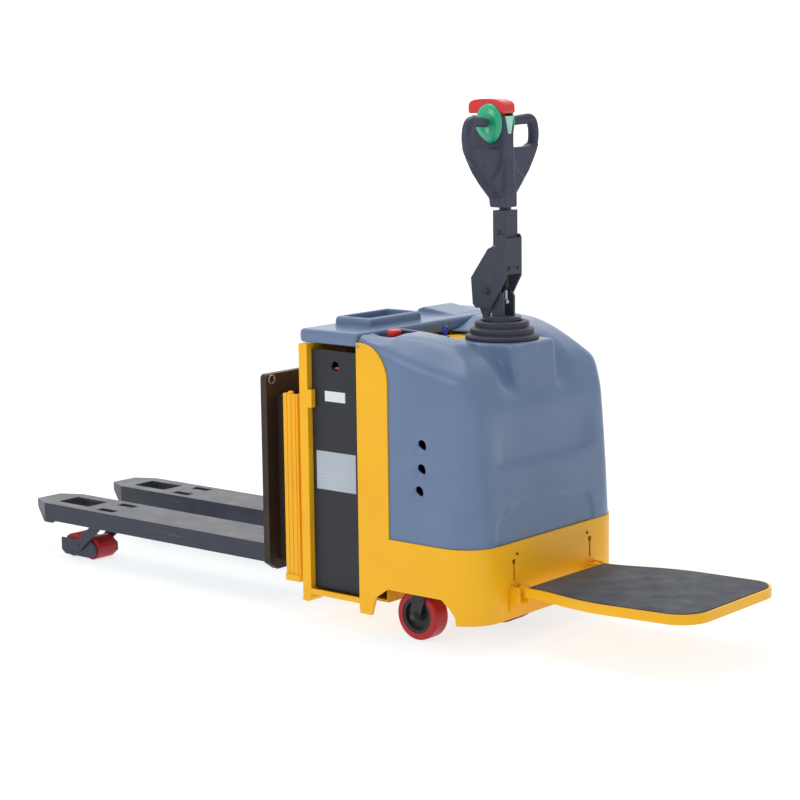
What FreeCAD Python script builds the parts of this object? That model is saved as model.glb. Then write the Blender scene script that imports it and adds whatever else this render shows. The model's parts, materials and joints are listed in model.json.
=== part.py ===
"""Electric ride-on pallet truck, modelled as an assembly of separate pieces.

Frame: X runs along the truck, forks towards -X and the rider's platform towards +X.
Y runs across the truck, left is +Y. Z is up and the floor is Z = 0. The origin lies
on the floor under the middle of the truck's bounding box. All sizes are millimetres.
The forks stand raised for travel. Every piece is one STEP file in parts/.
"""
import FreeCAD
import Part
import math
import os

V = FreeCAD.Vector
X_AXIS = V(1, 0, 0)
Y_AXIS = V(0, 1, 0)
Z_AXIS = V(0, 0, 1)
SIDES = {"left": 1, "right": -1}

# Overall layout
BODY_WIDTH = 760.0
REAR_X = 720.0
PLATE = 8.0
HALF = BODY_WIDTH / 2
INNER = HALF - PLATE

# Forks and carriage, drawn in the raised travelling position
FORK_FACE_X = REAR_X - 936.0
FORK_LENGTH = 1150.0
FORK_WIDTH = 180.0
FORKS_OVERALL = 540.0
FORK_TOP = 188.0
FORK_HEIGHT = 60.0
FORK_SKIN = 6.0
FORK_TIP_X = FORK_FACE_X - FORK_LENGTH
FORK_Y = (FORKS_OVERALL - FORK_WIDTH) / 2
FORK_UNDER = FORK_TOP - FORK_HEIGHT
BACKREST_DEPTH = 25.0
BACKREST_TOP = 731.0
BACKREST_BOTTOM = 101.0
BACKREST_REAR_X = FORK_FACE_X + BACKREST_DEPTH

# Load wheels under each fork
ROLLER_R = 40.0
ROLLER_WIDTH = 84.0
ROLLER_SPACING = 95.0
AXLE_R = 8.0
RUNNING_FIT = 0.05
ARM_PIVOT = (-1000.0, 156.0)
BOGIE_PIVOT = (-1137.0, 44.0)
ROD_LUG = (ARM_PIVOT[0] + 9.0, ARM_PIVOT[1] - 24.0)

# Mast channels
MAST_X0 = -120.0
MAST_X1 = -60.0
MAST_X = (MAST_X0 + MAST_X1) / 2
MAST_OUT = 270.0
RIB_PROUD = 1.5
MAST_IN = 230.0
MAST_BOTTOM = 105.0
MAST_TOP = 680.0

# Battery bay and lid
POST_X0 = 51.0
POST_X1 = 84.0
POST_IN = 320.0
POST_TOP = 862.0
BAY_REAR_X = 280.0
FLOOR_Z = 91.0
SILL_TOP = 108.0
DOOR_Y = 360.0
FINGER_X = 180.0
FINGER_Z = 800.0
FINGER_R = 15.0
BATTERY_TOP = 845.0
BATTERY_X0 = 66.0
BATTERY_X1 = 272.0
BATTERY_HALF = 316.0
CELL_TOP = 805.0
LID_BOTTOM = 865.0
LID_TOP = 908.0
LID_X0 = 52.0
LID_X1 = 279.0
TRAY_X0 = 100.0
TRAY_X1 = 242.0
TRAY_Y0 = 21.0
TRAY_Y1 = 272.0
TRAY_TOP = 937.0
PAD_Y0 = 125.0
PAD_TOP = 927.0

# Yellow body frame
CORNER_R = 120.0
SKIRT_BOTTOM = 77.0
SKIRT_TOP = 303.0
SIDE_PLATE_X1 = 398.0
SIDE_PLATE_TOP = 881.0
SIDE_PLATE_R = 110.0
ARCH_TOP = 150.0
LEG_BOTTOM = 62.0
DECK_Z = 176.0
RING_TOP = 240.0
FLANGE_TOP = 266.0

# Grey body cover
COVER_X0 = 283.0
COVER_HALF = 376.0
COVER_SKIN = 6.0
COVER_TOP = 908.0
PILLAR_R = 125.0
PILLAR_TOP = 872.0
BOOT_R = 110.0
DASH_Z = 858.0
ESTOP_X = 323.0
ESTOP_Y = -254.0
KEY_X = 362.0
KEY_Y = -60.0

# Steering, drive wheel and castors
STEER_X = REAR_X - 187.0
DRIVE_R = 115.0
DRIVE_WIDTH = 75.0
CASTOR_R = 75.0
CASTOR_WIDTH = 60.0
CASTOR_Y = 312.0
CASTOR_TRAIL = 25.0
CASTOR_AXIS_X = 495.0

# Tiller
TILT_X = 507.0
TILT_Z = 1018.0
COLUMN_X0 = 525.0
COLUMN_X1 = 569.0
COLUMN_HALF = 34.0
CHEEK_OUT = 40.0
BRACKET_IN = 22.0
BRACKET_OUT = 30.0
NECK_Z = 1266.0
CORE_HALF = 25.0
NECK_HALF = 30.0
CORE_TOP = 1545.0
LOOP_X0 = 515.0
LOOP_X1 = 549.0
KNOB_X = 515.0
KNOB_Z = 1514.0
KNOB_Y0 = 27.0
KNOB_Y1 = 49.0
KNOB_RADII = (54.0, 20.0, 58.0)
SHAFT_R = 9.0

# Rider's platform
HINGE_X = 742.0
HINGE_Z = 162.0
PLATFORM_END = 1366.0
PLATFORM_DEPTH = 28.0
PLATFORM_TILT = 1.5
LUG_Y = 192.0


def box(x0, x1, y0, y1, z0, z1):
    """Box between two corners."""
    return Part.makeBox(x1 - x0, y1 - y0, z1 - z0, V(x0, y0, z0))


def cyl_x(x0, x1, y, z, r):
    """Cylinder along X."""
    return Part.makeCylinder(r, x1 - x0, V(x0, y, z), X_AXIS)


def cyl_y(x, y0, y1, z, r):
    """Cylinder along Y."""
    return Part.makeCylinder(r, y1 - y0, V(x, y0, z), Y_AXIS)


def cyl_z(x, y, z0, z1, r):
    """Cylinder along Z."""
    return Part.makeCylinder(r, z1 - z0, V(x, y, z0), Z_AXIS)


def prism_y(points, y0, y1):
    """Extrude an outline given as (x, z) points from y0 to y1."""
    wire = Part.makePolygon([V(x, y0, z) for x, z in points + points[:1]])
    return Part.Face(wire).extrude(V(0, y1 - y0, 0))


def prism_x(points, x0, x1):
    """Extrude an outline given as (y, z) points from x0 to x1."""
    wire = Part.makePolygon([V(x0, y, z) for y, z in points + points[:1]])
    return Part.Face(wire).extrude(V(x1 - x0, 0, 0))


def prism_z(points, z0, z1):
    """Extrude an outline given as (x, y) points from z0 to z1."""
    wire = Part.makePolygon([V(x, y, z0) for x, y in points + points[:1]])
    return Part.Face(wire).extrude(V(0, 0, z1 - z0))


def fuse(*shapes):
    """Join touching shapes into one clean solid."""
    joined = shapes[0].multiFuse(list(shapes[1:])) if len(shapes) > 1 else shapes[0]
    return joined.removeSplitter()


def mirrored(shape):
    """Mirror a shape across the truck's middle plane."""
    return shape.mirror(V(0, 0, 0), Y_AXIS)


def pair(shape):
    """A shape and its mirror image as one group."""
    return Part.makeCompound([shape, mirrored(shape)])


def on_side(shape, sign):
    """A shape drawn on the left, moved to the wanted side."""
    return shape if sign > 0 else mirrored(shape)


def rounded(shape, radius, wanted):
    """Fillet the edges that the test picks."""
    edges = [edge for edge in shape.Edges if wanted(edge)]
    return shape.makeFillet(radius, edges) if edges else shape


def along(axis):
    """Test for straight edges that run along an axis."""
    def test(edge):
        if not isinstance(edge.Curve, Part.Line):
            return False
        return abs(abs(edge.tangentAt(edge.FirstParameter).dot(axis)) - 1) < 1e-6
    return test


def save(name, shape):
    """Write one named piece as STEP."""
    shape.exportStep("parts/" + name + ".step")


def plan_outline(x0, x1, half, radius, z0, z1):
    """Solid with a square front end and rounded rear corners in plan."""
    rear = [V(x0, -half, z0), V(x1 - radius, -half, z0)]
    turn = radius * (1 - math.sqrt(0.5))
    first = Part.Arc(rear[1], V(x1 - turn, -half + turn, z0), V(x1, -half + radius, z0))
    second = Part.Arc(V(x1, half - radius, z0), V(x1 - turn, half - turn, z0), V(x1 - radius, half, z0))
    edges = [
        Part.makeLine(rear[0], rear[1]),
        first.toShape(),
        Part.makeLine(V(x1, -half + radius, z0), V(x1, half - radius, z0)),
        second.toShape(),
        Part.makeLine(V(x1 - radius, half, z0), V(x0, half, z0)),
        Part.makeLine(V(x0, half, z0), rear[0]),
    ]
    return Part.Face(Part.Wire(edges)).extrude(V(0, 0, z1 - z0))


def shouldered_plate(x1, top, radius, y0):
    """Upright panel with a rounded top rear corner, on the left."""
    plate = box(BAY_REAR_X, x1, y0, HALF, SKIRT_TOP, top)
    return rounded(plate, radius, lambda edge: along(Y_AXIS)(edge) and edge.CenterOfMass.x > x1 - 1
                   and edge.CenterOfMass.z > top - 1)


def side_plate():
    """Upright side plate with its rounded shoulder and front leg, on the left."""
    plate = shouldered_plate(SIDE_PLATE_X1, SIDE_PLATE_TOP, SIDE_PLATE_R, INNER)
    leg = prism_y([(282, LEG_BOTTOM), (327, LEG_BOTTOM), (345, 120), (345, 160), (BAY_REAR_X, 160)],
                  INNER, HALF)
    flange = box(BAY_REAR_X, BAY_REAR_X + PLATE, INNER - 40, INNER, SILL_TOP, 858)
    return fuse(plate, leg, flange)


def body_frame():
    """Bent skirt and rear bumper with the two side plates welded on."""
    outer = plan_outline(BAY_REAR_X, REAR_X, HALF, CORNER_R, SKIRT_BOTTOM, SKIRT_TOP)
    inner = plan_outline(BAY_REAR_X - 10, REAR_X - PLATE, INNER, CORNER_R - PLATE,
                         SKIRT_BOTTOM - 10, SKIRT_TOP + 10)
    skirt = outer.cut(inner)
    arch = [(327, 40), (327, LEG_BOTTOM), (345, 120), (389, ARCH_TOP), (596, ARCH_TOP),
            (623, 127), (641, 101), (645, 40)]
    skirt = skirt.cut(prism_y(arch, -HALF - 5, HALF + 5))
    slots = []
    for sign in SIDES.values():
        slot = box(REAR_X - 20, REAR_X + 5, sign * LUG_Y - 4, sign * LUG_Y + 4, 190, 254)
        head = box(REAR_X - 20, REAR_X + 5, sign * LUG_Y - 8, sign * LUG_Y + 8, 240, 254)
        slots += [slot, head]
    skirt = skirt.cut(Part.makeCompound(slots))
    plate = side_plate()
    return fuse(skirt, plate, mirrored(plate))


def floor_plate():
    """Battery bay floor with a low sill along each side."""
    floor = box(POST_X0, 345, -POST_IN, POST_IN, FLOOR_Z, FLOOR_Z + PLATE)
    wing = box(POST_X1, BAY_REAR_X, POST_IN, HALF, FLOOR_Z, FLOOR_Z + PLATE)
    sill = box(POST_X1, BAY_REAR_X, HALF - 6, HALF, FLOOR_Z, SILL_TOP)
    return fuse(floor, wing, mirrored(wing), sill, mirrored(sill))


def front_frame():
    """Corner posts, bay front wall, and the webs that carry the mast."""
    post = box(POST_X0, POST_X1, POST_IN, HALF, FLOOR_Z - 14, POST_TOP)
    foot = prism_y([(POST_X0 - 4, 68), (POST_X0 + 21, 65), (POST_X1, FLOOR_Z - 14),
                    (POST_X0, FLOOR_Z - 14)], POST_IN, HALF)
    hollow = box(POST_X0 + 6, POST_X1 - 6, POST_IN + 6, HALF - 6, FLOOR_Z - 20, POST_TOP - 6)
    post = fuse(post, foot).cut(hollow)
    tab = box(61, 100, DOOR_Y + 3, HALF, 669, 724)
    post = fuse(post, tab)
    wall = box(POST_X0, POST_X0 + PLATE, -POST_IN, POST_IN, FLOOR_Z + PLATE, POST_TOP - 10)
    web = box(MAST_X1, POST_X0, 240, 252, FLOOR_Z, 640)
    upper = box(MAST_X1 + 20, POST_X0, -240, 240, 600, 640)
    lower = box(MAST_X1 + 20, POST_X0, -240, 240, FLOOR_Z, 150)
    return fuse(wall, post, mirrored(post), web, mirrored(web), upper, lower)


def mast_channels():
    """Two ribbed C channels that guide the carriage, open towards the middle."""
    outer = box(MAST_X0, MAST_X1, MAST_IN, MAST_OUT, MAST_BOTTOM, MAST_TOP)
    groove = box(MAST_X0 + 8, MAST_X1 - 8, MAST_IN - 1, MAST_OUT - 8, MAST_BOTTOM - 1, MAST_TOP + 1)
    ribs = [box(x - 3, x + 3, MAST_OUT, MAST_OUT + RIB_PROUD, MAST_BOTTOM, MAST_TOP)
            for x in (MAST_X0 + 12, MAST_X, MAST_X1 - 12)]
    foot = box(MAST_X0, MAST_X1, MAST_IN, MAST_OUT + 4, 84, MAST_BOTTOM)
    bolt = cyl_z(MAST_X, MAST_OUT - 4, MAST_TOP, MAST_TOP + 8, 8)
    return pair(fuse(outer.cut(groove), foot, bolt, *ribs))


def chassis_deck():
    """Deck over the castors, with the opening that the drive unit turns in."""
    deck = plan_outline(345, REAR_X - PLATE, INNER, CORNER_R - PLATE, DECK_Z, DECK_Z + PLATE)
    deck = deck.cut(cyl_z(STEER_X, 0, DECK_Z - 1, DECK_Z + 20, 134))
    for sign in SIDES.values():
        deck = deck.cut(cyl_z(CASTOR_AXIS_X, sign * CASTOR_Y, DECK_Z - 1, DECK_Z + 20, 10 + RUNNING_FIT))
    riser = box(337, 345, -POST_IN, POST_IN, FLOOR_Z + PLATE, DECK_Z + PLATE)
    return fuse(deck, riser)


def slew_ring():
    """Fixed ring that the drive unit's flange turns on."""
    ring = cyl_z(STEER_X, 0, DECK_Z + PLATE, RING_TOP, 150)
    return ring.cut(cyl_z(STEER_X, 0, DECK_Z, RING_TOP + 5, 128))


def dash_beam():
    """Yellow cross beam behind the battery lid, carrying the key switch."""
    beam = box(BAY_REAR_X + PLATE, 400, -320, 320, DASH_Z - PLATE, DASH_Z)
    lip = box(BAY_REAR_X + PLATE, BAY_REAR_X + 2 * PLATE, -320, 320, 800, DASH_Z - PLATE)
    return fuse(beam, lip)


def battery_case():
    """Steel battery tray with a lifting eye at each end."""
    bottom = FLOOR_Z + PLATE
    case = box(BATTERY_X0, BATTERY_X1, -BATTERY_HALF, BATTERY_HALF, bottom, CELL_TOP)
    room = box(BATTERY_X0 + 5, BATTERY_X1 - 5, -BATTERY_HALF + 5, BATTERY_HALF - 5, bottom + 5, CELL_TOP + 5)
    eye = box(150, 188, BATTERY_HALF - 5, BATTERY_HALF, CELL_TOP, BATTERY_TOP)
    eye = eye.cut(cyl_y(169, BATTERY_HALF - 10, BATTERY_HALF + 5, BATTERY_TOP - 18, 9))
    return fuse(case.cut(room), eye, mirrored(eye))


def battery_cells():
    """Two rows of six cells, each with a terminal post."""
    cells = []
    depth = (BATTERY_X1 - BATTERY_X0 - 14) / 2
    width = (2 * BATTERY_HALF - 22) / 6
    for row in range(2):
        for column in range(6):
            x = BATTERY_X0 + 6 + row * (depth + 2)
            y = -BATTERY_HALF + 6 + column * (width + 2)
            cell = box(x, x + depth, y, y + width, FLOOR_Z + PLATE + 5, CELL_TOP - 20)
            post = cyl_z(x + depth / 2, y + width / 2, CELL_TOP - 20, CELL_TOP, 12)
            cells.append(fuse(cell, post))
    return Part.makeCompound(cells)


def battery_doors():
    """Dark side panels of the battery bay, each with a finger hole."""
    panel = box(POST_X1 + 1, BAY_REAR_X - 1, DOOR_Y - 8, DOOR_Y, SILL_TOP + 2, BATTERY_TOP)
    panel = panel.cut(cyl_y(FINGER_X, DOOR_Y - 10, DOOR_Y + 5, FINGER_Z, FINGER_R))
    return pair(panel)


def battery_lid():
    """Moulded lid with a raised storage tray on the right and a pad on the left."""
    slab = box(LID_X0, LID_X1, -HALF + 1, HALF - 1, LID_BOTTOM, LID_TOP)
    slab = rounded(slab, 12, along(Z_AXIS))
    slab = rounded(slab, 8, lambda edge: edge.CenterOfMass.z > LID_TOP - 1)
    tray = box(TRAY_X0, TRAY_X1, -TRAY_Y1, -TRAY_Y0, LID_TOP - 5, TRAY_TOP)
    tray = rounded(tray, 14, along(Z_AXIS))
    tray = rounded(tray, 8, lambda edge: edge.CenterOfMass.z > TRAY_TOP - 1)
    pad = prism_y([(TRAY_X0, LID_TOP - 5), (TRAY_X1, LID_TOP - 5), (TRAY_X1, LID_TOP + 4),
                   (TRAY_X0 + 24, PAD_TOP), (TRAY_X0, PAD_TOP - 8)], PAD_Y0, TRAY_Y1)
    lid = fuse(slab, tray, pad)
    under = box(LID_X0 + 6, LID_X1 - 6, -HALF + 7, HALF - 7, LID_BOTTOM - 5, LID_TOP - 28)
    lid = lid.cut(under)
    well = box(TRAY_X0 + 18, TRAY_X1 - 18, -TRAY_Y1 + 18, -TRAY_Y0 - 18, LID_TOP - 20, TRAY_TOP + 5)
    return lid.cut(well)


def cover_block(inset):
    """Outer form of the body cover, or its inside when inset is the skin."""
    x1 = REAR_X - 2 - inset
    half = COVER_HALF - inset
    plan = plan_outline(COVER_X0 - inset, x1, half, CORNER_R - inset, SKIRT_TOP - inset, COVER_TOP)
    top = COVER_TOP - inset
    points = [V(COVER_X0 - inset, 0, SKIRT_TOP - inset), V(COVER_X0 - inset, 0, top),
              V(420, 0, top - 4), V(648 - inset, 0, 800), V(686 - inset, 0, 700),
              V(x1, 0, SKIRT_TOP - inset)]
    crown = Part.Arc(points[2], V(556 - inset, 0, 872 - inset), points[3]).toShape()
    edges = [Part.makeLine(points[0], points[1]), Part.makeLine(points[1], points[2]), crown,
             Part.makeLine(points[3], points[4]), Part.makeLine(points[4], points[5]),
             Part.makeLine(points[5], points[0])]
    profile = Part.Face(Part.Wire(edges))
    profile.translate(V(0, -half - 1, 0))
    form = plan.common(profile.extrude(V(0, 2 * half + 2, 0)))
    for sign in SIDES.values():
        form = form.cut(shoulder_cut(sign, half, top))
    return form


def shoulder_cut(sign, half, top):
    """Wedge that rounds a shoulder off, growing towards the rear."""
    wires = []
    for x, wide, deep in ((COVER_X0 - 20, 12, 8), (REAR_X + 10, 190, 150)):
        points = [V(x, sign * (half + 1), top - deep), V(x, sign * (half - wide), top + 1),
                  V(x, sign * (half + 60), top + 60)]
        wires.append(Part.makePolygon(points + points[:1]))
    return Part.makeLoft(wires, True, True)


def console_pillar(inset):
    """Upright under the steering boot, running into the cover's rear face."""
    radius = PILLAR_R - inset
    top = PILLAR_TOP - inset
    drum = cyl_z(STEER_X, 0, 560, top, radius)
    nose = prism_y([(STEER_X, 560), (STEER_X, top), (STEER_X + 120 - inset, top),
                    (STEER_X + 148 - inset, 620), (STEER_X + 150 - inset, 560)],
                   -104 + inset, 104 - inset)
    return fuse(drum, rounded(nose, 20, lambda edge: edge.CenterOfMass.x > STEER_X + 100
                              and abs(edge.CenterOfMass.y) > 60 and edge.Length > 60))


def body_cover():
    """Moulded cover shell over the drive unit, open below and at the battery bay."""
    outer = fuse(cover_block(0), console_pillar(0))
    inner = fuse(cover_block(COVER_SKIN), console_pillar(COVER_SKIN))
    shell = outer.cut(inner)
    gap = shouldered_plate(SIDE_PLATE_X1 + 1, SIDE_PLATE_TOP + 1, SIDE_PLATE_R, COVER_HALF - COVER_SKIN - 1)
    shell = shell.cut(Part.makeCompound([gap, mirrored(gap)]))
    shell = shell.cut(cyl_z(STEER_X, 0, PILLAR_TOP, COVER_TOP + 10, BOOT_R + 3))
    wall = cyl_z(STEER_X, 0, PILLAR_TOP, COVER_TOP + 10, BOOT_R + 8)
    wall = wall.cut(cyl_z(STEER_X, 0, PILLAR_TOP - 1, COVER_TOP + 20, BOOT_R + 3)).common(outer)
    seat = cyl_z(STEER_X, 0, PILLAR_TOP - COVER_SKIN, PILLAR_TOP, BOOT_R + 8)
    shell = fuse(shell, wall, seat)
    shell = shell.cut(cyl_z(STEER_X, 0, 500, COVER_TOP + 10, 70))
    trough = prism_z([(COVER_X0 - 5, -70), (440, -112), (440, 112), (COVER_X0 - 5, 70)],
                     862, COVER_TOP + 10)
    shell = shell.cut(trough)
    pocket = box(COVER_X0 - 5, 385, -305, -212, 880, COVER_TOP + 10)
    return shell.cut(pocket)


def steering_boot():
    """Three stepped rubber rings round the foot of the tiller."""
    steps = [(PILLAR_TOP, 889, BOOT_R), (889, 909, 93), (909, 928, 78)]
    rings = [cyl_z(STEER_X, 0, z0, z1, r) for z0, z1, r in steps]
    boot = fuse(*rings)
    return boot.cut(cyl_z(STEER_X, 0, PILLAR_TOP - 1, 930, 62))


def pump_unit():
    """Pump motor standing on its oil tank."""
    tank = box(310, 400, 120, 320, 184, 300)
    motor = cyl_z(355, 200, 300, 450, 55)
    valve = box(320, 390, 262, 318, 300, 350)
    return fuse(tank, motor, valve)


def motor_controller():
    """Finned motor controller with its contactor."""
    base = box(310, 400, -320, -120, 184, 240)
    fins = [box(310, 400, y, y + 6, 240, 262) for y in range(-312, -130, 20)]
    contactor = box(320, 380, -200, -140, 262, 320)
    return fuse(base, contactor, *fins)


def lift_cylinder():
    """Barrel of the lift cylinder, closed at the foot."""
    barrel = cyl_z(MAST_X, 0, 110, 520, 28)
    foot = box(MAST_X - 40, MAST_X1 + 20, -40, 40, 100, 120)
    return fuse(barrel, foot).cut(cyl_z(MAST_X, 0, 130, 530, 18))


def lift_rod():
    """Rod that pushes the carriage up."""
    return cyl_z(MAST_X, 0, 260, 636, 17.95)


def estop_base():
    """Dark plate in the dash pocket with the emergency stop's collar."""
    plate = box(BAY_REAR_X + 2 * PLATE, 384, -304, -214, DASH_Z, DASH_Z + 6)
    collar = cyl_z(ESTOP_X, ESTOP_Y, DASH_Z + 6, 884, 17)
    return fuse(plate, collar).cut(cyl_z(ESTOP_X, ESTOP_Y, DASH_Z - 1, 890, AXLE_R + RUNNING_FIT))


def estop_button():
    """Mushroom button on its stem."""
    stem = cyl_z(ESTOP_X, ESTOP_Y, DASH_Z + 8, 893, AXLE_R)
    cap = cyl_z(ESTOP_X, ESTOP_Y, 892, 909, 21)
    cap = rounded(cap, 5, lambda edge: edge.CenterOfMass.z > 908)
    return fuse(stem, cap)


def key_switch():
    """Key switch barrel on the dash beam."""
    body = cyl_z(KEY_X, KEY_Y, DASH_Z, DASH_Z + 16, 14)
    return body.cut(cyl_z(KEY_X, KEY_Y, DASH_Z + 2, DASH_Z + 20, 9 + RUNNING_FIT))


def key():
    """Turning plug of the switch with the key's blade and bow."""
    plug = cyl_z(KEY_X, KEY_Y, DASH_Z + 3, DASH_Z + 17, 9)
    blade = box(KEY_X - 4, KEY_X + 4, KEY_Y - 1, KEY_Y + 1, DASH_Z + 16, DASH_Z + 26)
    bow = cyl_y(KEY_X, KEY_Y - 2, KEY_Y + 2, DASH_Z + 34, 12)
    return fuse(plug, blade, bow).cut(cyl_y(KEY_X, KEY_Y - 5, KEY_Y + 5, DASH_Z + 38, 4))


def platform_lugs():
    """Hinge lugs with their pins on the rear bumper."""
    solids = []
    for sign in SIDES.values():
        middle = sign * LUG_Y
        cheeks = [box(REAR_X, HINGE_X + 14, middle + offset, middle + offset + 8, HINGE_Z - 40, HINGE_Z + 14)
                  for offset in (-26, 18)]
        pin = cyl_y(HINGE_X, middle - 30, middle + 30, HINGE_Z, AXLE_R)
        back = box(REAR_X, REAR_X + 6, middle - 26, middle + 26, HINGE_Z - 60, HINGE_Z - 40)
        solids.append(fuse(*cheeks, pin, back))
    return Part.makeCompound(solids)


def platform_plan(inset, z0, z1):
    """Plan of the platform: narrow at the hinge, wide and rounded outside."""
    x0 = HINGE_X + 22 + inset
    x1 = PLATFORM_END - inset
    near = 200 - inset
    wide = 250 - inset
    radius = 90 - inset
    turn = radius * (1 - math.sqrt(0.5))

    def point(x, y):
        return V(x, y, z0)

    edges = []
    for sign in (-1, 1):
        wing = Part.BezierCurve()
        wing.setPoles([point(x0, sign * near), point(x0 + 110, sign * (near + 2)),
                       point(x0 + 160, sign * wide), point(x0 + 320, sign * wide)])
        edges.append(wing.toShape())
        edges.append(Part.makeLine(point(x0 + 320, sign * wide), point(x1 - radius, sign * (wide - 5))))
        edges.append(Part.Arc(point(x1 - radius, sign * (wide - 5)), point(x1 - turn, sign * (wide - 5 - turn)),
                              point(x1, sign * (wide - 5 - radius))).toShape())
    edges.append(Part.makeLine(point(x1, -(wide - 5 - radius)), point(x1, wide - 5 - radius)))
    edges.append(Part.makeLine(point(x0, -near), point(x0, near)))
    wire = Part.Wire(Part.__sortEdges__(edges))
    return Part.Face(wire).extrude(V(0, 0, z1 - z0))


def tilted(shape):
    """Tip a platform piece up a little about the hinge pin."""
    turned = shape.copy()
    turned.rotate(V(HINGE_X, 0, HINGE_Z), Y_AXIS, -PLATFORM_TILT)
    return turned


def platform_deck():
    """Folding steel platform: a pan with a rim, ribs below and hinge eyes."""
    top = HINGE_Z + 12
    bottom = top - PLATFORM_DEPTH
    pan = platform_plan(0, bottom, top).cut(platform_plan(5, bottom - 1, top - 10))
    pan = pan.cut(platform_plan(8, top - 5, top + 1))
    ribs = [box(HINGE_X + 30, PLATFORM_END - 12, y - 4, y + 4, bottom + 4, top - 8) for y in (-90, 90)]
    eyes = []
    for sign in SIDES.values():
        middle = sign * LUG_Y
        inner = middle - sign * 6
        eye = fuse(cyl_y(HINGE_X, inner - 10, inner + 10, HINGE_Z, 15),
                   box(HINGE_X, HINGE_X + 26, inner - 10, inner + 10, HINGE_Z - 14, HINGE_Z + 12))
        eyes.append(eye.cut(cyl_y(HINGE_X, inner - 20, inner + 20, HINGE_Z, AXLE_R + RUNNING_FIT)))
    return tilted(fuse(pan, *ribs, *eyes))


def platform_mat():
    """Ribbed rubber mat laid in the platform."""
    top = HINGE_Z + 12
    return tilted(platform_plan(9, top - 5, top + 2))


def wheel_ring(x, y0, y1, z, outer, inner, edge_radius):
    """Tyre about a Y axis with softened edges."""
    tyre = cyl_y(x, y0, y1, z, outer)
    tyre = rounded(tyre, edge_radius, lambda edge: isinstance(edge.Curve, Part.Circle))
    return tyre.cut(cyl_y(x, y0 - 1, y1 + 1, z, inner))


def drive_tyre():
    """Solid tread of the drive wheel."""
    return wheel_ring(STEER_X, -DRIVE_WIDTH / 2, DRIVE_WIDTH / 2, DRIVE_R, DRIVE_R, 80, 6)


def drive_hub():
    """Cast hub of the drive wheel with its axle stub and wheel bolts."""
    hub = cyl_y(STEER_X, -DRIVE_WIDTH / 2 + 4, DRIVE_WIDTH / 2 - 4, DRIVE_R, 80)
    recess = cyl_y(STEER_X, -DRIVE_WIDTH / 2, -12, DRIVE_R, 58)
    hub = hub.cut(recess)
    for index in range(6):
        angle = math.radians(60 * index)
        x = STEER_X + 42 * math.cos(angle)
        z = DRIVE_R + 42 * math.sin(angle)
        hub = fuse(hub, cyl_y(x, -20, -11, z, 8))
    return fuse(hub, cyl_y(STEER_X, DRIVE_WIDTH / 2 - 5, 70, DRIVE_R, 20))


def drive_gearbox():
    """Gear case beside the wheel, with the flange that turns on the ring."""
    case = prism_y([(STEER_X - 55, 60), (STEER_X + 55, 60), (STEER_X + 70, 110),
                    (STEER_X + 66, RING_TOP + 5), (STEER_X - 66, RING_TOP + 5), (STEER_X - 70, 110)],
                   44, 92)
    case = rounded(case, 12, along(Y_AXIS))
    case = case.cut(cyl_y(STEER_X, 40, 78, DRIVE_R, 20 + RUNNING_FIT))
    flange = cyl_z(STEER_X, 0, RING_TOP, FLANGE_TOP, 146)
    return fuse(case, flange)


def traction_motor():
    """Upright traction motor with cooling ribs."""
    motor = cyl_z(STEER_X, 0, FLANGE_TOP, 470, 88)
    ribs = [cyl_z(STEER_X, 0, z, z + 6, 94) for z in range(280, 450, 20)]
    return fuse(motor, *ribs)


def parking_brake():
    """Spring-applied brake on top of the traction motor."""
    return fuse(cyl_z(STEER_X, 0, 470, 520, 70), cyl_z(STEER_X, 0, 520, 530, 60))


def steering_column():
    """Cage and tube that join the tiller to the drive unit."""
    legs = [cyl_z(STEER_X + dx, dy, 470, 600, 8) for dx, dy in ((79, 0), (-79, 0), (0, 79), (0, -79))]
    plate = cyl_z(STEER_X, 0, 600, 612, 92)
    tube = cyl_z(STEER_X, 0, 612, 930, 45).cut(cyl_z(STEER_X, 0, 620, 940, 38))
    return fuse(plate, tube, *legs)


def tiller_bracket():
    """Two upright cheeks on a round foot, with the tilt pin across them."""
    foot = cyl_z(STEER_X, 0, 930, 940, 58)
    outline = [(TILT_X - 35, 964), (TILT_X - 25, 940), (TILT_X - 3, 940), (TILT_X + 4, 956),
               (TILT_X + 16, 940), (560, 940), (560, 1000), (TILT_X + 23, 1043),
               (TILT_X - 17, 1043), (TILT_X - 35, 1018)]
    cheek = prism_y(outline, BRACKET_IN, BRACKET_OUT)
    pin = cyl_y(TILT_X, -CHEEK_OUT - 5, CHEEK_OUT + 5, TILT_Z, AXLE_R)
    return fuse(foot, cheek, mirrored(cheek), pin)


def tiller_cheeks():
    """Folded channel: two wide cheeks and a front web, pivoting on the tilt pin."""
    outline = [(528, 1151), (511, 1143), (447, 1054), (453, 975), (464, 964), (520, 964),
               (546, 1005), (578, 1062), (578, 1176), (572, 1186), (540, 1186), (540, 1151)]
    cheek = prism_y(outline, COLUMN_HALF, CHEEK_OUT)
    cheek = cheek.cut(cyl_y(TILT_X, COLUMN_HALF - 5, CHEEK_OUT + 5, TILT_Z, AXLE_R + RUNNING_FIT))
    web = box(572, 578, -CHEEK_OUT, CHEEK_OUT, 1068, 1176)
    return fuse(cheek, mirrored(cheek), web)


def tiller_column():
    """Rectangular tube between the cheeks and the handle."""
    tube = box(COLUMN_X0, COLUMN_X1, -COLUMN_HALF, COLUMN_HALF, 1082, 1258)
    tube = rounded(tube, 4, along(Z_AXIS))
    tube = tube.cut(box(COLUMN_X0 + 4, COLUMN_X1 - 4, -COLUMN_HALF + 4, COLUMN_HALF - 4, 1075, 1254))
    spigot = cyl_z(547, 0, 1258, NECK_Z, 18)
    return fuse(tube, spigot)


def gas_spring():
    """Return strut hanging inside the column, with its eye at the foot."""
    barrel = cyl_z(547, 0, 1030, 1254, 9)
    rod = cyl_z(547, 0, 990, 1030, 5)
    eye = cyl_y(547, -6, 6, 984, 8)
    return fuse(barrel, rod, eye)


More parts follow.
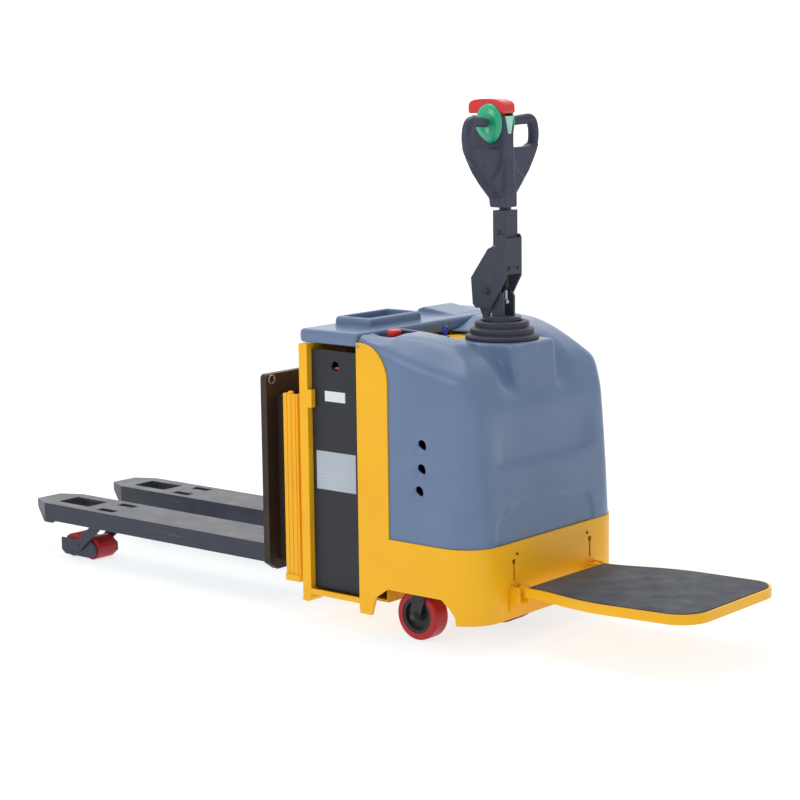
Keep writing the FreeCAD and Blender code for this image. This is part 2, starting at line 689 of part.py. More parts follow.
def handle_core():
    """Neck and long centre body of the handle."""
    outline = [(525, NECK_Z), (569, NECK_Z), (569, 1300), (560, 1420), (563, CORE_TOP),
               (436, CORE_TOP), (434, 1447), (470, 1425), (506, 1385), (523, 1300)]
    core = prism_y(outline, -CORE_HALF, CORE_HALF)
    neck = box(COLUMN_X0, COLUMN_X1, -NECK_HALF, NECK_HALF, NECK_Z, 1292)
    core = fuse(core, neck)
    core = core.cut(cyl_y(KNOB_X, -CORE_HALF - 10, CORE_HALF + 10, KNOB_Z, SHAFT_R + RUNNING_FIT))
    pocket = prism_x([(-20, 1536), (20, 1536), (6, 1482), (-6, 1482)], 553, 570)
    well = box(469, 541, -16, 16, CORE_TOP - 8, CORE_TOP + 5)
    return core.cut(pocket).cut(well)


def horn_button():
    """Wedge-shaped push button on the handle's rear face."""
    return prism_x([(-19.5, 1535.3), (19.5, 1535.3), (5.5, 1482.7), (-5.5, 1482.7)], 557, 567)


def handle_loops():
    """Hand loops with the tapering web that joins them to the neck."""
    outline = [(CORE_HALF, 1292), (NECK_HALF, 1292), (NECK_HALF, 1278), (78, 1331), (116, 1370), (146, 1412), (168, 1453),
               (176, 1484), (166, 1512), (148, 1528), (126, 1534), (KNOB_Y1 + 3, 1534),
               (KNOB_Y1 + 3, 1500), (134, 1500), (142, 1492), (146, 1468), (143, 1447),
               (135, 1440), (CORE_HALF, 1440)]
    loop = prism_x(outline, LOOP_X0, LOOP_X1)
    loop = rounded(loop, 8, lambda edge: edge.CenterOfMass.y > CORE_HALF + 12
                   and not along(X_AXIS)(edge) and edge.Length > 8)
    return pair(loop)


def throttle_knobs():
    """Two rocking thumb knobs on one cross shaft."""
    solids = [cyl_y(KNOB_X, -KNOB_Y1, KNOB_Y1, KNOB_Z, SHAFT_R)]
    for sign in SIDES.values():
        middle = sign * (KNOB_Y0 + KNOB_Y1) / 2
        knob = Part.makeSphere(1)
        stretch = FreeCAD.Matrix()
        stretch.scale(V(*KNOB_RADII))
        knob = knob.transformGeometry(stretch)
        knob.translate(V(KNOB_X, middle, KNOB_Z))
        low = min(sign * KNOB_Y0, sign * KNOB_Y1)
        high = max(sign * KNOB_Y0, sign * KNOB_Y1)
        solids.append(knob.common(box(KNOB_X - 60, KNOB_X + 60, low, high, KNOB_Z - 70, KNOB_Z + 70)))
    return fuse(*solids)


def belly_switch():
    """Red safety cap over the end of the handle."""
    cap = box(430, 566, -CORE_HALF - 1, CORE_HALF + 1, CORE_TOP + 6, 1586)
    cap = rounded(cap, 18, along(Z_AXIS))
    cap = rounded(cap, 10, lambda edge: edge.CenterOfMass.z > 1585)
    stem = box(470, 540, -15, 15, CORE_TOP - 2, CORE_TOP + 7)
    return fuse(cap, stem)


def backrest():
    """Load backrest plate with its trimmed corners and lifting holes."""
    half = FORKS_OVERALL / 2
    outline = [(-half, BACKREST_BOTTOM + 24), (-half + 35, BACKREST_BOTTOM), (half - 35, BACKREST_BOTTOM),
               (half, BACKREST_BOTTOM + 24), (half, BACKREST_TOP), (-half, BACKREST_TOP)]
    plate = prism_x(outline, FORK_FACE_X, BACKREST_REAR_X)

    def top_corner(edge):
        return along(X_AXIS)(edge) and edge.CenterOfMass.z > BACKREST_TOP - 1

    plate = rounded(plate, 14, top_corner)
    for sign in SIDES.values():
        plate = plate.cut(cyl_x(FORK_FACE_X - 5, BACKREST_REAR_X + 5, sign * 246, 714, 11))
    return plate


def carriage_frame():
    """Arms behind the backrest, with the cross head that the lift rod pushes."""
    arm = box(BACKREST_REAR_X, MAST_X1 - 5, 205, 221, 130, 660)
    arm = arm.cut(box(BACKREST_REAR_X + 40, MAST_X1, 200, 230, 290, 560))
    head = box(MAST_X0 + 5, MAST_X1 - 5, -205, 205, 636, 660)
    stay = box(BACKREST_REAR_X, BACKREST_REAR_X + 20, -205, 205, 560, 600)
    stubs = [cyl_y(MAST_X, 220, 257, z, 10) for z in (240, 600)]
    return fuse(arm, mirrored(arm), head, stay, *stubs, *[mirrored(stub) for stub in stubs])


def guide_rollers():
    """Mast rollers on the carriage stubs."""
    rollers = []
    for z in (240, 600):
        roller = cyl_y(MAST_X, 226, 257, z, 21.4).cut(cyl_y(MAST_X, 225, 260, z, 10))
        rollers += [roller, mirrored(roller)]
    return Part.makeCompound(rollers)


def fork():
    """Hollow fork open below, with its wheel opening and tapered tip, on the left."""
    y0 = FORK_Y - FORK_WIDTH / 2
    y1 = FORK_Y + FORK_WIDTH / 2
    plan = [(FORK_FACE_X, y0), (FORK_FACE_X, y1), (FORK_TIP_X + 98, y1), (FORK_TIP_X + 14, FORK_Y + 48),
            (FORK_TIP_X, FORK_Y + 30), (FORK_TIP_X, FORK_Y - 30), (FORK_TIP_X + 14, FORK_Y - 48),
            (FORK_TIP_X + 98, y0)]
    body = prism_z(plan, FORK_UNDER - 8, FORK_TOP)
    side = [(FORK_FACE_X + 1, FORK_TOP + 1), (FORK_FACE_X + 1, FORK_UNDER), (FORK_TIP_X + 150, FORK_UNDER),
            (FORK_TIP_X + 135, FORK_UNDER - 8), (FORK_TIP_X + 80, FORK_UNDER - 8), (FORK_TIP_X, 166),
            (FORK_TIP_X, FORK_TOP - 5), (FORK_TIP_X + 25, FORK_TOP + 1)]
    body = body.common(prism_y(side, y0 - 1, y1 + 1))
    hollow = box(FORK_TIP_X + 70, FORK_FACE_X + 1, y0 + FORK_SKIN, y1 - FORK_SKIN,
                 FORK_UNDER - 10, FORK_TOP - PLATE)
    tip_room = prism_z([(FORK_TIP_X + 104, y0), (FORK_TIP_X + 104, y1), (FORK_TIP_X + 60, FORK_Y + 55),
                        (FORK_TIP_X + 60, FORK_Y - 55)], 0, FORK_TOP)
    hollow = hollow.cut(box(FORK_TIP_X, FORK_TIP_X + 104, y0, y1, 0, FORK_TOP))
    room = hollow.fuse(tip_room.common(box(FORK_TIP_X, FORK_TIP_X + 104, y0 + FORK_SKIN, y1 - FORK_SKIN,
                                           FORK_UNDER - 10, FORK_TOP - PLATE)))
    body = body.cut(room)
    window = box(FORK_TIP_X + 120, FORK_TIP_X + 274, FORK_Y - 46, FORK_Y + 46, FORK_TOP - 20, FORK_TOP + 1)
    body = body.cut(window)
    for offset in (-48, 48):
        slot = box(FORK_TIP_X + 334, FORK_TIP_X + 412, FORK_Y + offset - 16, FORK_Y + offset + 16,
                   FORK_TOP - 20, FORK_TOP + 1)
        body = body.cut(slot)
    boss = [cyl_y(ARM_PIVOT[0], y, y + 16, ARM_PIVOT[1], 15) for y in (y0 + FORK_SKIN, y1 - FORK_SKIN - 16)]
    body = fuse(body, *boss)
    pin = cyl_y(ARM_PIVOT[0], y0 + FORK_SKIN, y1 - FORK_SKIN, ARM_PIVOT[1], AXLE_R)
    return fuse(body, pin)


def load_arm():
    """Swing arm: two side bars on a sleeve, with the lug for the push rod."""
    ax, az = ARM_PIVOT
    bx, bz = BOGIE_PIVOT
    bars = []
    for offset in (-64, 56):
        y = FORK_Y + offset
        length = math.hypot(bx - ax, bz - az)
        bar = box(-length, 0, y, y + 8, -17, 17)
        angle = math.degrees(math.atan2(az - bz, ax - bx))
        bar.rotate(V(0, 0, 0), Y_AXIS, -angle)
        bar.translate(V(ax, 0, az))
        bars += [bar, cyl_y(ax, y, y + 8, az, 17), cyl_y(bx, y, y + 8, bz, 17)]
    sleeve = cyl_y(ax, FORK_Y - 64, FORK_Y + 64, az, 14)
    lug = prism_y([(ax - 10, az), (ax + 12, az), (ROD_LUG[0] + 9, ROD_LUG[1] - 6), (ROD_LUG[0] - 9, ROD_LUG[1] - 6)],
                  FORK_Y - 5, FORK_Y + 5)
    lug_pin = cyl_y(ROD_LUG[0], FORK_Y - 14, FORK_Y + 14, ROD_LUG[1], 4)
    arm = fuse(*bars, sleeve, lug, lug_pin)
    arm = arm.cut(cyl_y(ax, FORK_Y - 70, FORK_Y + 70, az, AXLE_R + RUNNING_FIT))
    return arm.cut(cyl_y(bx, FORK_Y - 70, FORK_Y + 70, bz, AXLE_R + RUNNING_FIT))


def push_rod():
    """Rod along the inside of the fork that works the load arm."""
    x, z = ROD_LUG
    rod = cyl_x(x + 24, FORK_FACE_X - 20, FORK_Y, z, 7)
    ears = [box(x - 12, x + 34, FORK_Y + low, FORK_Y + low + 5, z - 9, z + 8.5) for low in (-12, 7)]
    bridge = box(x + 22, x + 34, FORK_Y - 12, FORK_Y + 12, z - 9, z + 9)
    clevis = fuse(*ears, bridge, rod)
    return clevis.cut(cyl_y(x, FORK_Y - 20, FORK_Y + 20, z, 6))


def bogie():
    """Rocking frame with the two roller axles and its own pivot pin."""
    bx, bz = BOGIE_PIVOT
    reach = ROLLER_SPACING / 2 + 44
    outline = [(bx - reach, bz + 20), (bx - reach, bz - 22), (bx - reach + 18, bz - 36), (bx + reach - 30, bz - 36),
               (bx + reach - 10, bz - 20), (bx + reach - 10, bz + 6), (bx + reach - 34, bz + 22)]
    plates = [prism_y(outline, FORK_Y + y, FORK_Y + y + 8) for y in (-53, 45)]
    axles = [cyl_y(bx + dx, FORK_Y - 50, FORK_Y + 50, ROLLER_R, AXLE_R)
             for dx in (-ROLLER_SPACING / 2, ROLLER_SPACING / 2)]
    pin = cyl_y(bx, FORK_Y - 66, FORK_Y - 46, bz, AXLE_R)
    pins = [pin, cyl_y(bx, FORK_Y + 46, FORK_Y + 66, bz, AXLE_R)]
    tie = box(bx - 4, bx + 4, FORK_Y - 46, FORK_Y + 46, bz + 12, bz + 20)
    return fuse(*plates, *axles, *pins, tie)


def load_roller(position):
    """Polyurethane load roller with its bearing bore."""
    x = BOGIE_PIVOT[0] + position * ROLLER_SPACING / 2
    y0 = FORK_Y - ROLLER_WIDTH / 2
    y1 = FORK_Y + ROLLER_WIDTH / 2
    return wheel_ring(x, y0, y1, ROLLER_R, ROLLER_R, AXLE_R + RUNNING_FIT, 4)


def castor_yoke():
    """Swivelling fork of a castor, with its king pin and axle."""
    wheel_x = CASTOR_AXIS_X - CASTOR_TRAIL
    crown = cyl_z(CASTOR_AXIS_X, CASTOR_Y, 156, 164, 50)
    raceway = cyl_z(CASTOR_AXIS_X, CASTOR_Y, 164, 174, 40)
    king_pin = cyl_z(CASTOR_AXIS_X, CASTOR_Y, 174, 205, 10)
    outline = [(CASTOR_AXIS_X + 22, 160), (CASTOR_AXIS_X - 30, 160), (wheel_x - 18, 80), (wheel_x - 10, 62),
               (wheel_x + 12, 62), (wheel_x + 20, 80)]
    legs = [prism_y(outline, CASTOR_Y + y, CASTOR_Y + y + 5) for y in (-38, 33)]
    axle = cyl_y(wheel_x, CASTOR_Y - 42, CASTOR_Y + 42, CASTOR_R, AXLE_R)
    return fuse(crown, raceway, king_pin, *legs, axle)


def castor_tyre():
    """Red tread of a castor wheel."""
    return wheel_ring(CASTOR_AXIS_X - CASTOR_TRAIL, CASTOR_Y - CASTOR_WIDTH / 2, CASTOR_Y + CASTOR_WIDTH / 2,
                      CASTOR_R, CASTOR_R, 54, 8)


def castor_hub():
    """Dark wheel centre with a dished face and a bearing boss."""
    x = CASTOR_AXIS_X - CASTOR_TRAIL
    hub = cyl_y(x, CASTOR_Y - 28, CASTOR_Y + 28, CASTOR_R, 54)
    for y0, y1 in ((CASTOR_Y - 29, CASTOR_Y - 14), (CASTOR_Y + 14, CASTOR_Y + 29)):
        dish = cyl_y(x, y0, y1, CASTOR_R, 44).cut(cyl_y(x, y0, y1, CASTOR_R, 20))
        hub = hub.cut(dish)
    return hub.cut(cyl_y(x, CASTOR_Y - 30, CASTOR_Y + 30, CASTOR_R, AXLE_R + RUNNING_FIT))


def single_parts():
    """Every piece that the truck has once, or as a pair in one group."""
    return {
        "body_frame": body_frame, "floor_plate": floor_plate, "front_frame": front_frame,
        "mast_channels": mast_channels, "chassis_deck": chassis_deck, "slew_ring": slew_ring,
        "dash_beam": dash_beam, "battery_case": battery_case, "battery_cells": battery_cells, "battery_doors": battery_doors,
        "battery_lid": battery_lid, "body_cover": body_cover, "steering_boot": steering_boot,
        "pump_unit": pump_unit, "motor_controller": motor_controller, "lift_cylinder": lift_cylinder,
        "lift_rod": lift_rod, "estop_base": estop_base, "estop_button": estop_button,
        "key_switch": key_switch, "key": key, "platform_lugs": platform_lugs,
        "platform_deck": platform_deck, "platform_mat": platform_mat, "drive_tyre": drive_tyre,
        "drive_hub": drive_hub, "drive_gearbox": drive_gearbox, "traction_motor": traction_motor,
        "parking_brake": parking_brake, "steering_column": steering_column,
        "tiller_bracket": tiller_bracket, "tiller_cheeks": tiller_cheeks,
        "tiller_column": tiller_column, "gas_spring": gas_spring, "handle_core": handle_core,
        "handle_loops": handle_loops, "horn_button": horn_button, "throttle_knobs": throttle_knobs,
        "belly_switch": belly_switch, "backrest": backrest, "carriage_frame": carriage_frame,
        "guide_rollers": guide_rollers,
    }


def sided_parts():
    """Pieces that stay separate on the left and the right."""
    return {
        "fork": fork, "load_arm": load_arm, "push_rod": push_rod, "bogie": bogie,
        "castor_yoke": castor_yoke, "castor_tyre": castor_tyre, "castor_hub": castor_hub,
    }


def main():
    """Write every piece of the truck."""
    os.makedirs("parts", exist_ok=True)
    for name, make in single_parts().items():
        save(name, make())
    for side, sign in SIDES.items():
        for name, make in sided_parts().items():
            save(name + "_" + side, on_side(make(), sign))
        for position, label in ((-1, "front"), (1, "rear")):
            save("load_roller_" + side + "_" + label, on_side(load_roller(position), sign))


main()
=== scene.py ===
"""Looks of a ride-on electric pallet truck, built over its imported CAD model.

All sizes are metres in the truck's own frame: X runs from the forks towards the
rider's platform, Y to the left and Z up from the floor. CAD nodes whose shape is
right are kept and refinished. Moulded and rounded parts are modelled again here
and stand for their CAD nodes.
"""

import logging
import math
from collections.abc import Callable, Iterable, Sequence
from dataclasses import dataclass, field
from enum import Enum

import bmesh
import bpy
import numpy as np
from mathutils import Matrix, Vector
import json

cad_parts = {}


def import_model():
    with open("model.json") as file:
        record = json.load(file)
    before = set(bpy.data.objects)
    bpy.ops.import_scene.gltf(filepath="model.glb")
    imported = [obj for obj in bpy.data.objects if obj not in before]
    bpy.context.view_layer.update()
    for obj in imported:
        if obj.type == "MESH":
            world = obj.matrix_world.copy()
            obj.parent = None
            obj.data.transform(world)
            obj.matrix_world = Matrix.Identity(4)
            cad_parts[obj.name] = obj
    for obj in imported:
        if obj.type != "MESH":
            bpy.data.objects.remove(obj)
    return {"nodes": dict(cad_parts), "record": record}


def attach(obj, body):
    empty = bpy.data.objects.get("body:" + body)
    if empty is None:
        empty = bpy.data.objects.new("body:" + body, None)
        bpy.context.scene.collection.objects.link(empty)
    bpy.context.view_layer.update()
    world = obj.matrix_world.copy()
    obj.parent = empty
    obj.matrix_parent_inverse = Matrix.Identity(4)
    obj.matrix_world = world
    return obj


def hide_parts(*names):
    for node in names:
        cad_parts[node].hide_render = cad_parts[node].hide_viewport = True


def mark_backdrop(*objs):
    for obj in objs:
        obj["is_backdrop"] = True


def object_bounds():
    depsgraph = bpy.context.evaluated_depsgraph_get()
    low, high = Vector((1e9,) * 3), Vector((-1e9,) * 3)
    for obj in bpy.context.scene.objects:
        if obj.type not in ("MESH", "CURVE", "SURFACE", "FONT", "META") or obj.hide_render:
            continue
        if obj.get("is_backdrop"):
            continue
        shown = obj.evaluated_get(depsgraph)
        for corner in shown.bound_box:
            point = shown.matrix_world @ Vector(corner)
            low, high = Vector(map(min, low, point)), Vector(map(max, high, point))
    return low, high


LOG = logging.getLogger("pallet_truck")
Point = tuple[float, float, float]
Colour = tuple[float, float, float]
Outline = Sequence[tuple[float, float]]


class Axis(Enum):
    """Direction that an outline is drawn across or a round part is turned about."""

    X = 0
    Y = 1
    Z = 2


def display_colour(red: int, green: int, blue: int) -> Colour:
    """Turns display values from 0 to 255 into the linear colour that shaders take."""
    def linear(value: int) -> float:
        """One channel."""
        part = value / 255
        return part / 12.92 if part <= 0.04045 else ((part + 0.055) / 1.055) ** 2.4
    return (linear(red), linear(green), linear(blue))


# ---------------------------------------------------------------- shared effects


@dataclass
class GroupSketch:
    """A node group being drawn, with its named inputs and outputs."""

    name: str
    tree: bpy.types.NodeTree = field(init=False)
    given: bpy.types.Node = field(init=False)
    result: bpy.types.Node = field(init=False)

    def __post_init__(self) -> None:
        """Starts the empty group."""
        self.tree = bpy.data.node_groups.new(self.name, "ShaderNodeTree")
        self.given = self.tree.nodes.new("NodeGroupInput")
        self.result = self.tree.nodes.new("NodeGroupOutput")

    def add_input(self, name: str, kind: str, default: float | Sequence[float]) -> None:
        """Adds a named input.

        Args:
            name: Name shown on the group.
            kind: Socket type, such as NodeSocketFloat.
            default: Value used when nothing is linked.
        """
        socket = self.tree.interface.new_socket(name, in_out="INPUT", socket_type=kind)
        socket.default_value = default

    def add_output(self, name: str, kind: str) -> None:
        """Adds a named output of the given socket type."""
        self.tree.interface.new_socket(name, in_out="OUTPUT", socket_type=kind)

    def node(self, kind: str, **settings: object) -> bpy.types.Node:
        """Adds a node and sets its plain properties.

        Args:
            kind: Node type without the ShaderNode prefix.
            **settings: Properties such as operation or data_type.

        Returns:
            The new node.
        """
        made = self.tree.nodes.new("ShaderNode" + kind)
        for key, value in settings.items():
            setattr(made, key, value)
        return made

    def link(self, source: bpy.types.NodeSocket, target: bpy.types.NodeSocket) -> None:
        """Joins two sockets."""
        self.tree.links.new(source, target)


@dataclass
class SharedEffects:
    """Node groups for patchy colour, rubbed edges, surface grain, scratches, and dust with painted top light."""

    patches: bpy.types.NodeTree = field(init=False)
    rubbed: bpy.types.NodeTree = field(init=False)
    grain: bpy.types.NodeTree = field(init=False)
    scratches: bpy.types.NodeTree = field(init=False)
    dust_and_top_light: bpy.types.NodeTree = field(init=False)

    def __post_init__(self) -> None:
        """Builds every group once."""
        self.patches = self._patches()
        self.rubbed = self._rubbed()
        self.grain = self._grain()
        self.scratches = self._scratches()
        self.dust_and_top_light = self._dust_and_top_light()

    @staticmethod
    def _noise(sketch: GroupSketch, size_name: str, detail: float, rough: float) -> bpy.types.Node:
        """Adds object-space noise whose scale is a named input of the group.

        Args:
            sketch: Group being drawn.
            size_name: Input that sets the noise scale.
            detail: Octaves of detail.
            rough: Strength of the finer octaves.

        Returns:
            The noise node.
        """
        place = sketch.node("TexCoord")
        noise = sketch.node("TexNoise")
        noise.inputs["Detail"].default_value = detail
        noise.inputs["Roughness"].default_value = rough
        sketch.link(place.outputs["Object"], noise.inputs["Vector"])
        sketch.link(sketch.given.outputs[size_name], noise.inputs["Scale"])
        return noise

    def _patches(self) -> bpy.types.NodeTree:
        """Soft patches between two close colours."""
        sketch = GroupSketch("soft patches")
        sketch.add_input("First Colour", "NodeSocketColor", (0.5, 0.5, 0.5, 1))
        sketch.add_input("Second Colour", "NodeSocketColor", (0.4, 0.4, 0.4, 1))
        sketch.add_input("Patch Scale", "NodeSocketFloat", 8.0)
        sketch.add_output("Colour", "NodeSocketColor")
        sketch.add_output("Tone", "NodeSocketFloat")
        noise = self._noise(sketch, "Patch Scale", 5.0, 0.6)
        spread = sketch.node("MapRange")
        spread.inputs["From Min"].default_value = 0.32
        spread.inputs["From Max"].default_value = 0.68
        blend = sketch.node("Mix", data_type="RGBA")
        sketch.link(noise.outputs["Fac"], spread.inputs["Value"])
        sketch.link(spread.outputs["Result"], blend.inputs["Factor"])
        sketch.link(sketch.given.outputs["First Colour"], blend.inputs[6])
        sketch.link(sketch.given.outputs["Second Colour"], blend.inputs[7])
        sketch.link(blend.outputs[2], sketch.result.inputs["Colour"])
        sketch.link(spread.outputs["Result"], sketch.result.inputs["Tone"])
        return sketch.tree

    def _rubbed(self) -> bpy.types.NodeTree:
        """Mask of outer and inner edges, broken up by noise."""
        sketch = GroupSketch("rubbed edges")
        sketch.add_input("Width", "NodeSocketFloat", 0.002)
        sketch.add_input("Amount", "NodeSocketFloat", 1.0)
        sketch.add_input("Breakup Scale", "NodeSocketFloat", 60.0)
        sketch.add_output("Mask", "NodeSocketFloat")
        softened = sketch.node("Bevel")
        softened.samples = 4
        plain = sketch.node("NewGeometry")
        match = sketch.node("VectorMath", operation="DOT_PRODUCT")
        sketch.link(sketch.given.outputs["Width"], softened.inputs["Radius"])
        sketch.link(softened.outputs["Normal"], match.inputs[0])
        sketch.link(plain.outputs["Normal"], match.inputs[1])
        turned = sketch.node("MapRange")
        turned.inputs["From Min"].default_value = 0.985
        turned.inputs["From Max"].default_value = 0.86
        sketch.link(match.outputs["Value"], turned.inputs["Value"])
        noise = self._noise(sketch, "Breakup Scale", 6.0, 0.7)
        gate = sketch.node("MapRange")
        gate.inputs["From Min"].default_value = 0.45
        gate.inputs["From Max"].default_value = 0.62
        sketch.link(noise.outputs["Fac"], gate.inputs["Value"])
        broken = sketch.node("Math", operation="MULTIPLY")
        sketch.link(turned.outputs["Result"], broken.inputs[0])
        sketch.link(gate.outputs["Result"], broken.inputs[1])
        scaled = sketch.node("Math", operation="MULTIPLY", use_clamp=True)
        sketch.link(broken.outputs["Value"], scaled.inputs[0])
        sketch.link(sketch.given.outputs["Amount"], scaled.inputs[1])
        sketch.link(scaled.outputs["Value"], sketch.result.inputs["Mask"])
        return sketch.tree

    def _grain(self) -> bpy.types.NodeTree:
        """Fine surface relief: an even grain over slow waves."""
        sketch = GroupSketch("surface grain")
        sketch.add_input("Grain Scale", "NodeSocketFloat", 900.0)
        sketch.add_input("Wave Scale", "NodeSocketFloat", 9.0)
        sketch.add_input("Wave Share", "NodeSocketFloat", 0.5)
        sketch.add_output("Height", "NodeSocketFloat")
        fine = self._noise(sketch, "Grain Scale", 2.0, 0.5)
        slow = self._noise(sketch, "Wave Scale", 1.0, 0.4)
        blend = sketch.node("Mix", data_type="FLOAT")
        sketch.link(sketch.given.outputs["Wave Share"], blend.inputs["Factor"])
        sketch.link(fine.outputs["Fac"], blend.inputs[2])
        sketch.link(slow.outputs["Fac"], blend.inputs[3])
        sketch.link(blend.outputs[0], sketch.result.inputs["Height"])
        return sketch.tree

    def _scratches(self) -> bpy.types.NodeTree:
        """Thin marks drawn out along the truck's length."""
        sketch = GroupSketch("long scratches")
        sketch.add_input("Scale", "NodeSocketFloat", 60.0)
        sketch.add_input("Stretch", "NodeSocketVector", (0.05, 1.0, 1.0))
        sketch.add_input("Amount", "NodeSocketFloat", 0.5)
        sketch.add_output("Mask", "NodeSocketFloat")
        place = sketch.node("TexCoord")
        drawn = sketch.node("VectorMath", operation="MULTIPLY")
        noise = sketch.node("TexNoise")
        noise.inputs["Detail"].default_value = 8.0
        noise.inputs["Roughness"].default_value = 0.72
        sketch.link(place.outputs["Object"], drawn.inputs[0])
        sketch.link(sketch.given.outputs["Stretch"], drawn.inputs[1])
        sketch.link(drawn.outputs["Vector"], noise.inputs["Vector"])
        sketch.link(sketch.given.outputs["Scale"], noise.inputs["Scale"])
        keep = sketch.node("MapRange")
        keep.inputs["From Min"].default_value = 0.6
        keep.inputs["From Max"].default_value = 0.72
        sketch.link(noise.outputs["Fac"], keep.inputs["Value"])
        scaled = sketch.node("Math", operation="MULTIPLY", use_clamp=True)
        sketch.link(keep.outputs["Result"], scaled.inputs[0])
        sketch.link(sketch.given.outputs["Amount"], scaled.inputs[1])
        sketch.link(scaled.outputs["Value"], sketch.result.inputs["Mask"])
        return sketch.tree

    def _dust_and_top_light(self) -> bpy.types.NodeTree:
        """Mask of faces that look up: settled dust, and on the forks also a painted highlight of their lit tops."""
        sketch = GroupSketch("settled dust")
        sketch.add_input("Amount", "NodeSocketFloat", 0.3)
        sketch.add_input("Breakup Scale", "NodeSocketFloat", 14.0)
        sketch.add_output("Mask", "NodeSocketFloat")
        facing = sketch.node("NewGeometry")
        split = sketch.node("SeparateXYZ")
        upward = sketch.node("MapRange")
        upward.inputs["From Min"].default_value = 0.55
        upward.inputs["From Max"].default_value = 1.0
        sketch.link(facing.outputs["Normal"], split.inputs["Vector"])
        sketch.link(split.outputs["Z"], upward.inputs["Value"])
        noise = self._noise(sketch, "Breakup Scale", 6.0, 0.65)
        patchy = sketch.node("Math", operation="MULTIPLY")
        sketch.link(upward.outputs["Result"], patchy.inputs[0])
        sketch.link(noise.outputs["Fac"], patchy.inputs[1])
        scaled = sketch.node("Math", operation="MULTIPLY", use_clamp=True)
        sketch.link(patchy.outputs["Value"], scaled.inputs[0])
        sketch.link(sketch.given.outputs["Amount"], scaled.inputs[1])
        sketch.link(scaled.outputs["Value"], sketch.result.inputs["Mask"])
        return sketch.tree


# ---------------------------------------------------------------- finishes


@dataclass(frozen=True)
class Finish:
    """One surface finish: its colours, gloss, relief, signs of use and painted light on lit tops."""

    name: str
    colour: Colour
    second: Colour
    roughness: float
    rough_spread: float = 0.08
    patch_scale: float = 9.0
    metallic: float = 0.0
    coat: float = 0.0
    specular: float = 0.3
    grain_scale: float = 900.0
    grain_depth: float = 0.0002
    wave_share: float = 0.25
    worn_colour: Colour = (0.30, 0.30, 0.31)
    worn_amount: float = 0.0
    worn_width: float = 0.002
    edge_round: float = 0.0012
    scratch_amount: float = 0.0
    scratch_scale: float = 60.0
    scratch_stretch: Point = (0.05, 1.0, 1.0)
    # Grey laid on upward faces: settled dust, and on the forks a painted highlight of their lit tops.
    dust_and_top_light_amount: float = 0.15
    dust_and_top_light_colour: Colour = (0.42, 0.40, 0.37)

    def material(self, effects: SharedEffects) -> bpy.types.Material:
        """Builds the node material.

        Args:
            effects: Shared node groups.

        Returns:
            The finished material.
        """
        made = bpy.data.materials.new(self.name)
        made.use_nodes = True
        tree = made.node_tree
        surface = tree.nodes["Principled BSDF"]
        surface.inputs["Metallic"].default_value = self.metallic
        surface.inputs["Specular IOR Level"].default_value = self.specular
        surface.inputs["Coat Weight"].default_value = self.coat
        surface.inputs["Coat Roughness"].default_value = 0.12
        base = self._group(tree, effects.patches, {
            "First Colour": (*self.colour, 1), "Second Colour": (*self.second, 1),
            "Patch Scale": self.patch_scale})
        worn = self._group(tree, effects.rubbed, {"Width": self.worn_width, "Amount": self.worn_amount})
        marks = self._group(tree, effects.scratches, {
            "Amount": self.scratch_amount, "Stretch": self.scratch_stretch, "Scale": self.scratch_scale})
        # Greys the upward faces: settled dust, and on the forks a painted highlight of their lit tops.
        upward_mask = self._group(tree, effects.dust_and_top_light, {"Amount": self.dust_and_top_light_amount})
        shade = self._blend(tree, base.outputs["Colour"], self.worn_colour, worn.outputs["Mask"])
        shade = self._blend(tree, shade, self.worn_colour, marks.outputs["Mask"])
        shade = self._extra_colour(tree, shade)
        shade = self._blend(tree, shade, self.dust_and_top_light_colour, upward_mask.outputs["Mask"])
        tree.links.new(shade, surface.inputs["Base Color"])
        gloss = tree.nodes.new("ShaderNodeMapRange")
        gloss.inputs["To Min"].default_value = max(0.02, self.roughness - self.rough_spread)
        gloss.inputs["To Max"].default_value = min(1.0, self.roughness + self.rough_spread)
        tree.links.new(base.outputs["Tone"], gloss.inputs["Value"])
        tree.links.new(gloss.outputs["Result"], surface.inputs["Roughness"])
        relief = self._group(tree, effects.grain, {
            "Grain Scale": self.grain_scale, "Wave Share": self.wave_share})
        bump = tree.nodes.new("ShaderNodeBump")
        bump.inputs["Distance"].default_value = self.grain_depth
        bump.inputs["Strength"].default_value = 1.0
        tree.links.new(self._extra_height(tree, relief.outputs["Height"]), bump.inputs["Height"])
        if self.edge_round > 0:
            rounded = tree.nodes.new("ShaderNodeBevel")
            rounded.samples = 4
            rounded.inputs["Radius"].default_value = self.edge_round
            tree.links.new(rounded.outputs["Normal"], bump.inputs["Normal"])
        tree.links.new(bump.outputs["Normal"], surface.inputs["Normal"])
        return made

    @staticmethod
    def _group(tree: bpy.types.NodeTree, group: bpy.types.NodeTree,
               values: dict[str, float | Sequence[float]]) -> bpy.types.Node:
        """Adds a shared group to a material with its input values.

        Args:
            tree: Node tree of the material.
            group: Shared group.
            values: Input name to value.

        Returns:
            The group node.
        """
        node = tree.nodes.new("ShaderNodeGroup")
        node.node_tree = group
        for key, value in values.items():
            node.inputs[key].default_value = value
        return node

    @staticmethod
    def _blend(tree: bpy.types.NodeTree, under: bpy.types.NodeSocket, over: Colour,
               mask: bpy.types.NodeSocket) -> bpy.types.NodeSocket:
        """Lays a colour over another by a mask and returns the mixed colour."""
        blend = tree.nodes.new("ShaderNodeMix")
        blend.data_type = "RGBA"
        blend.inputs[7].default_value = (*over, 1)
        tree.links.new(mask, blend.inputs["Factor"])
        tree.links.new(under, blend.inputs[6])
        return blend.outputs[2]

    def _extra_colour(self, tree: bpy.types.NodeTree, shade: bpy.types.NodeSocket) -> bpy.types.NodeSocket:
        """Lets a special finish add to the colour; a plain one returns it as it is."""
        return shade

    def _extra_height(self, tree: bpy.types.NodeTree, height: bpy.types.NodeSocket) -> bpy.types.NodeSocket:
        """Lets a special finish add to the relief; a plain one returns it as it is."""
        return height


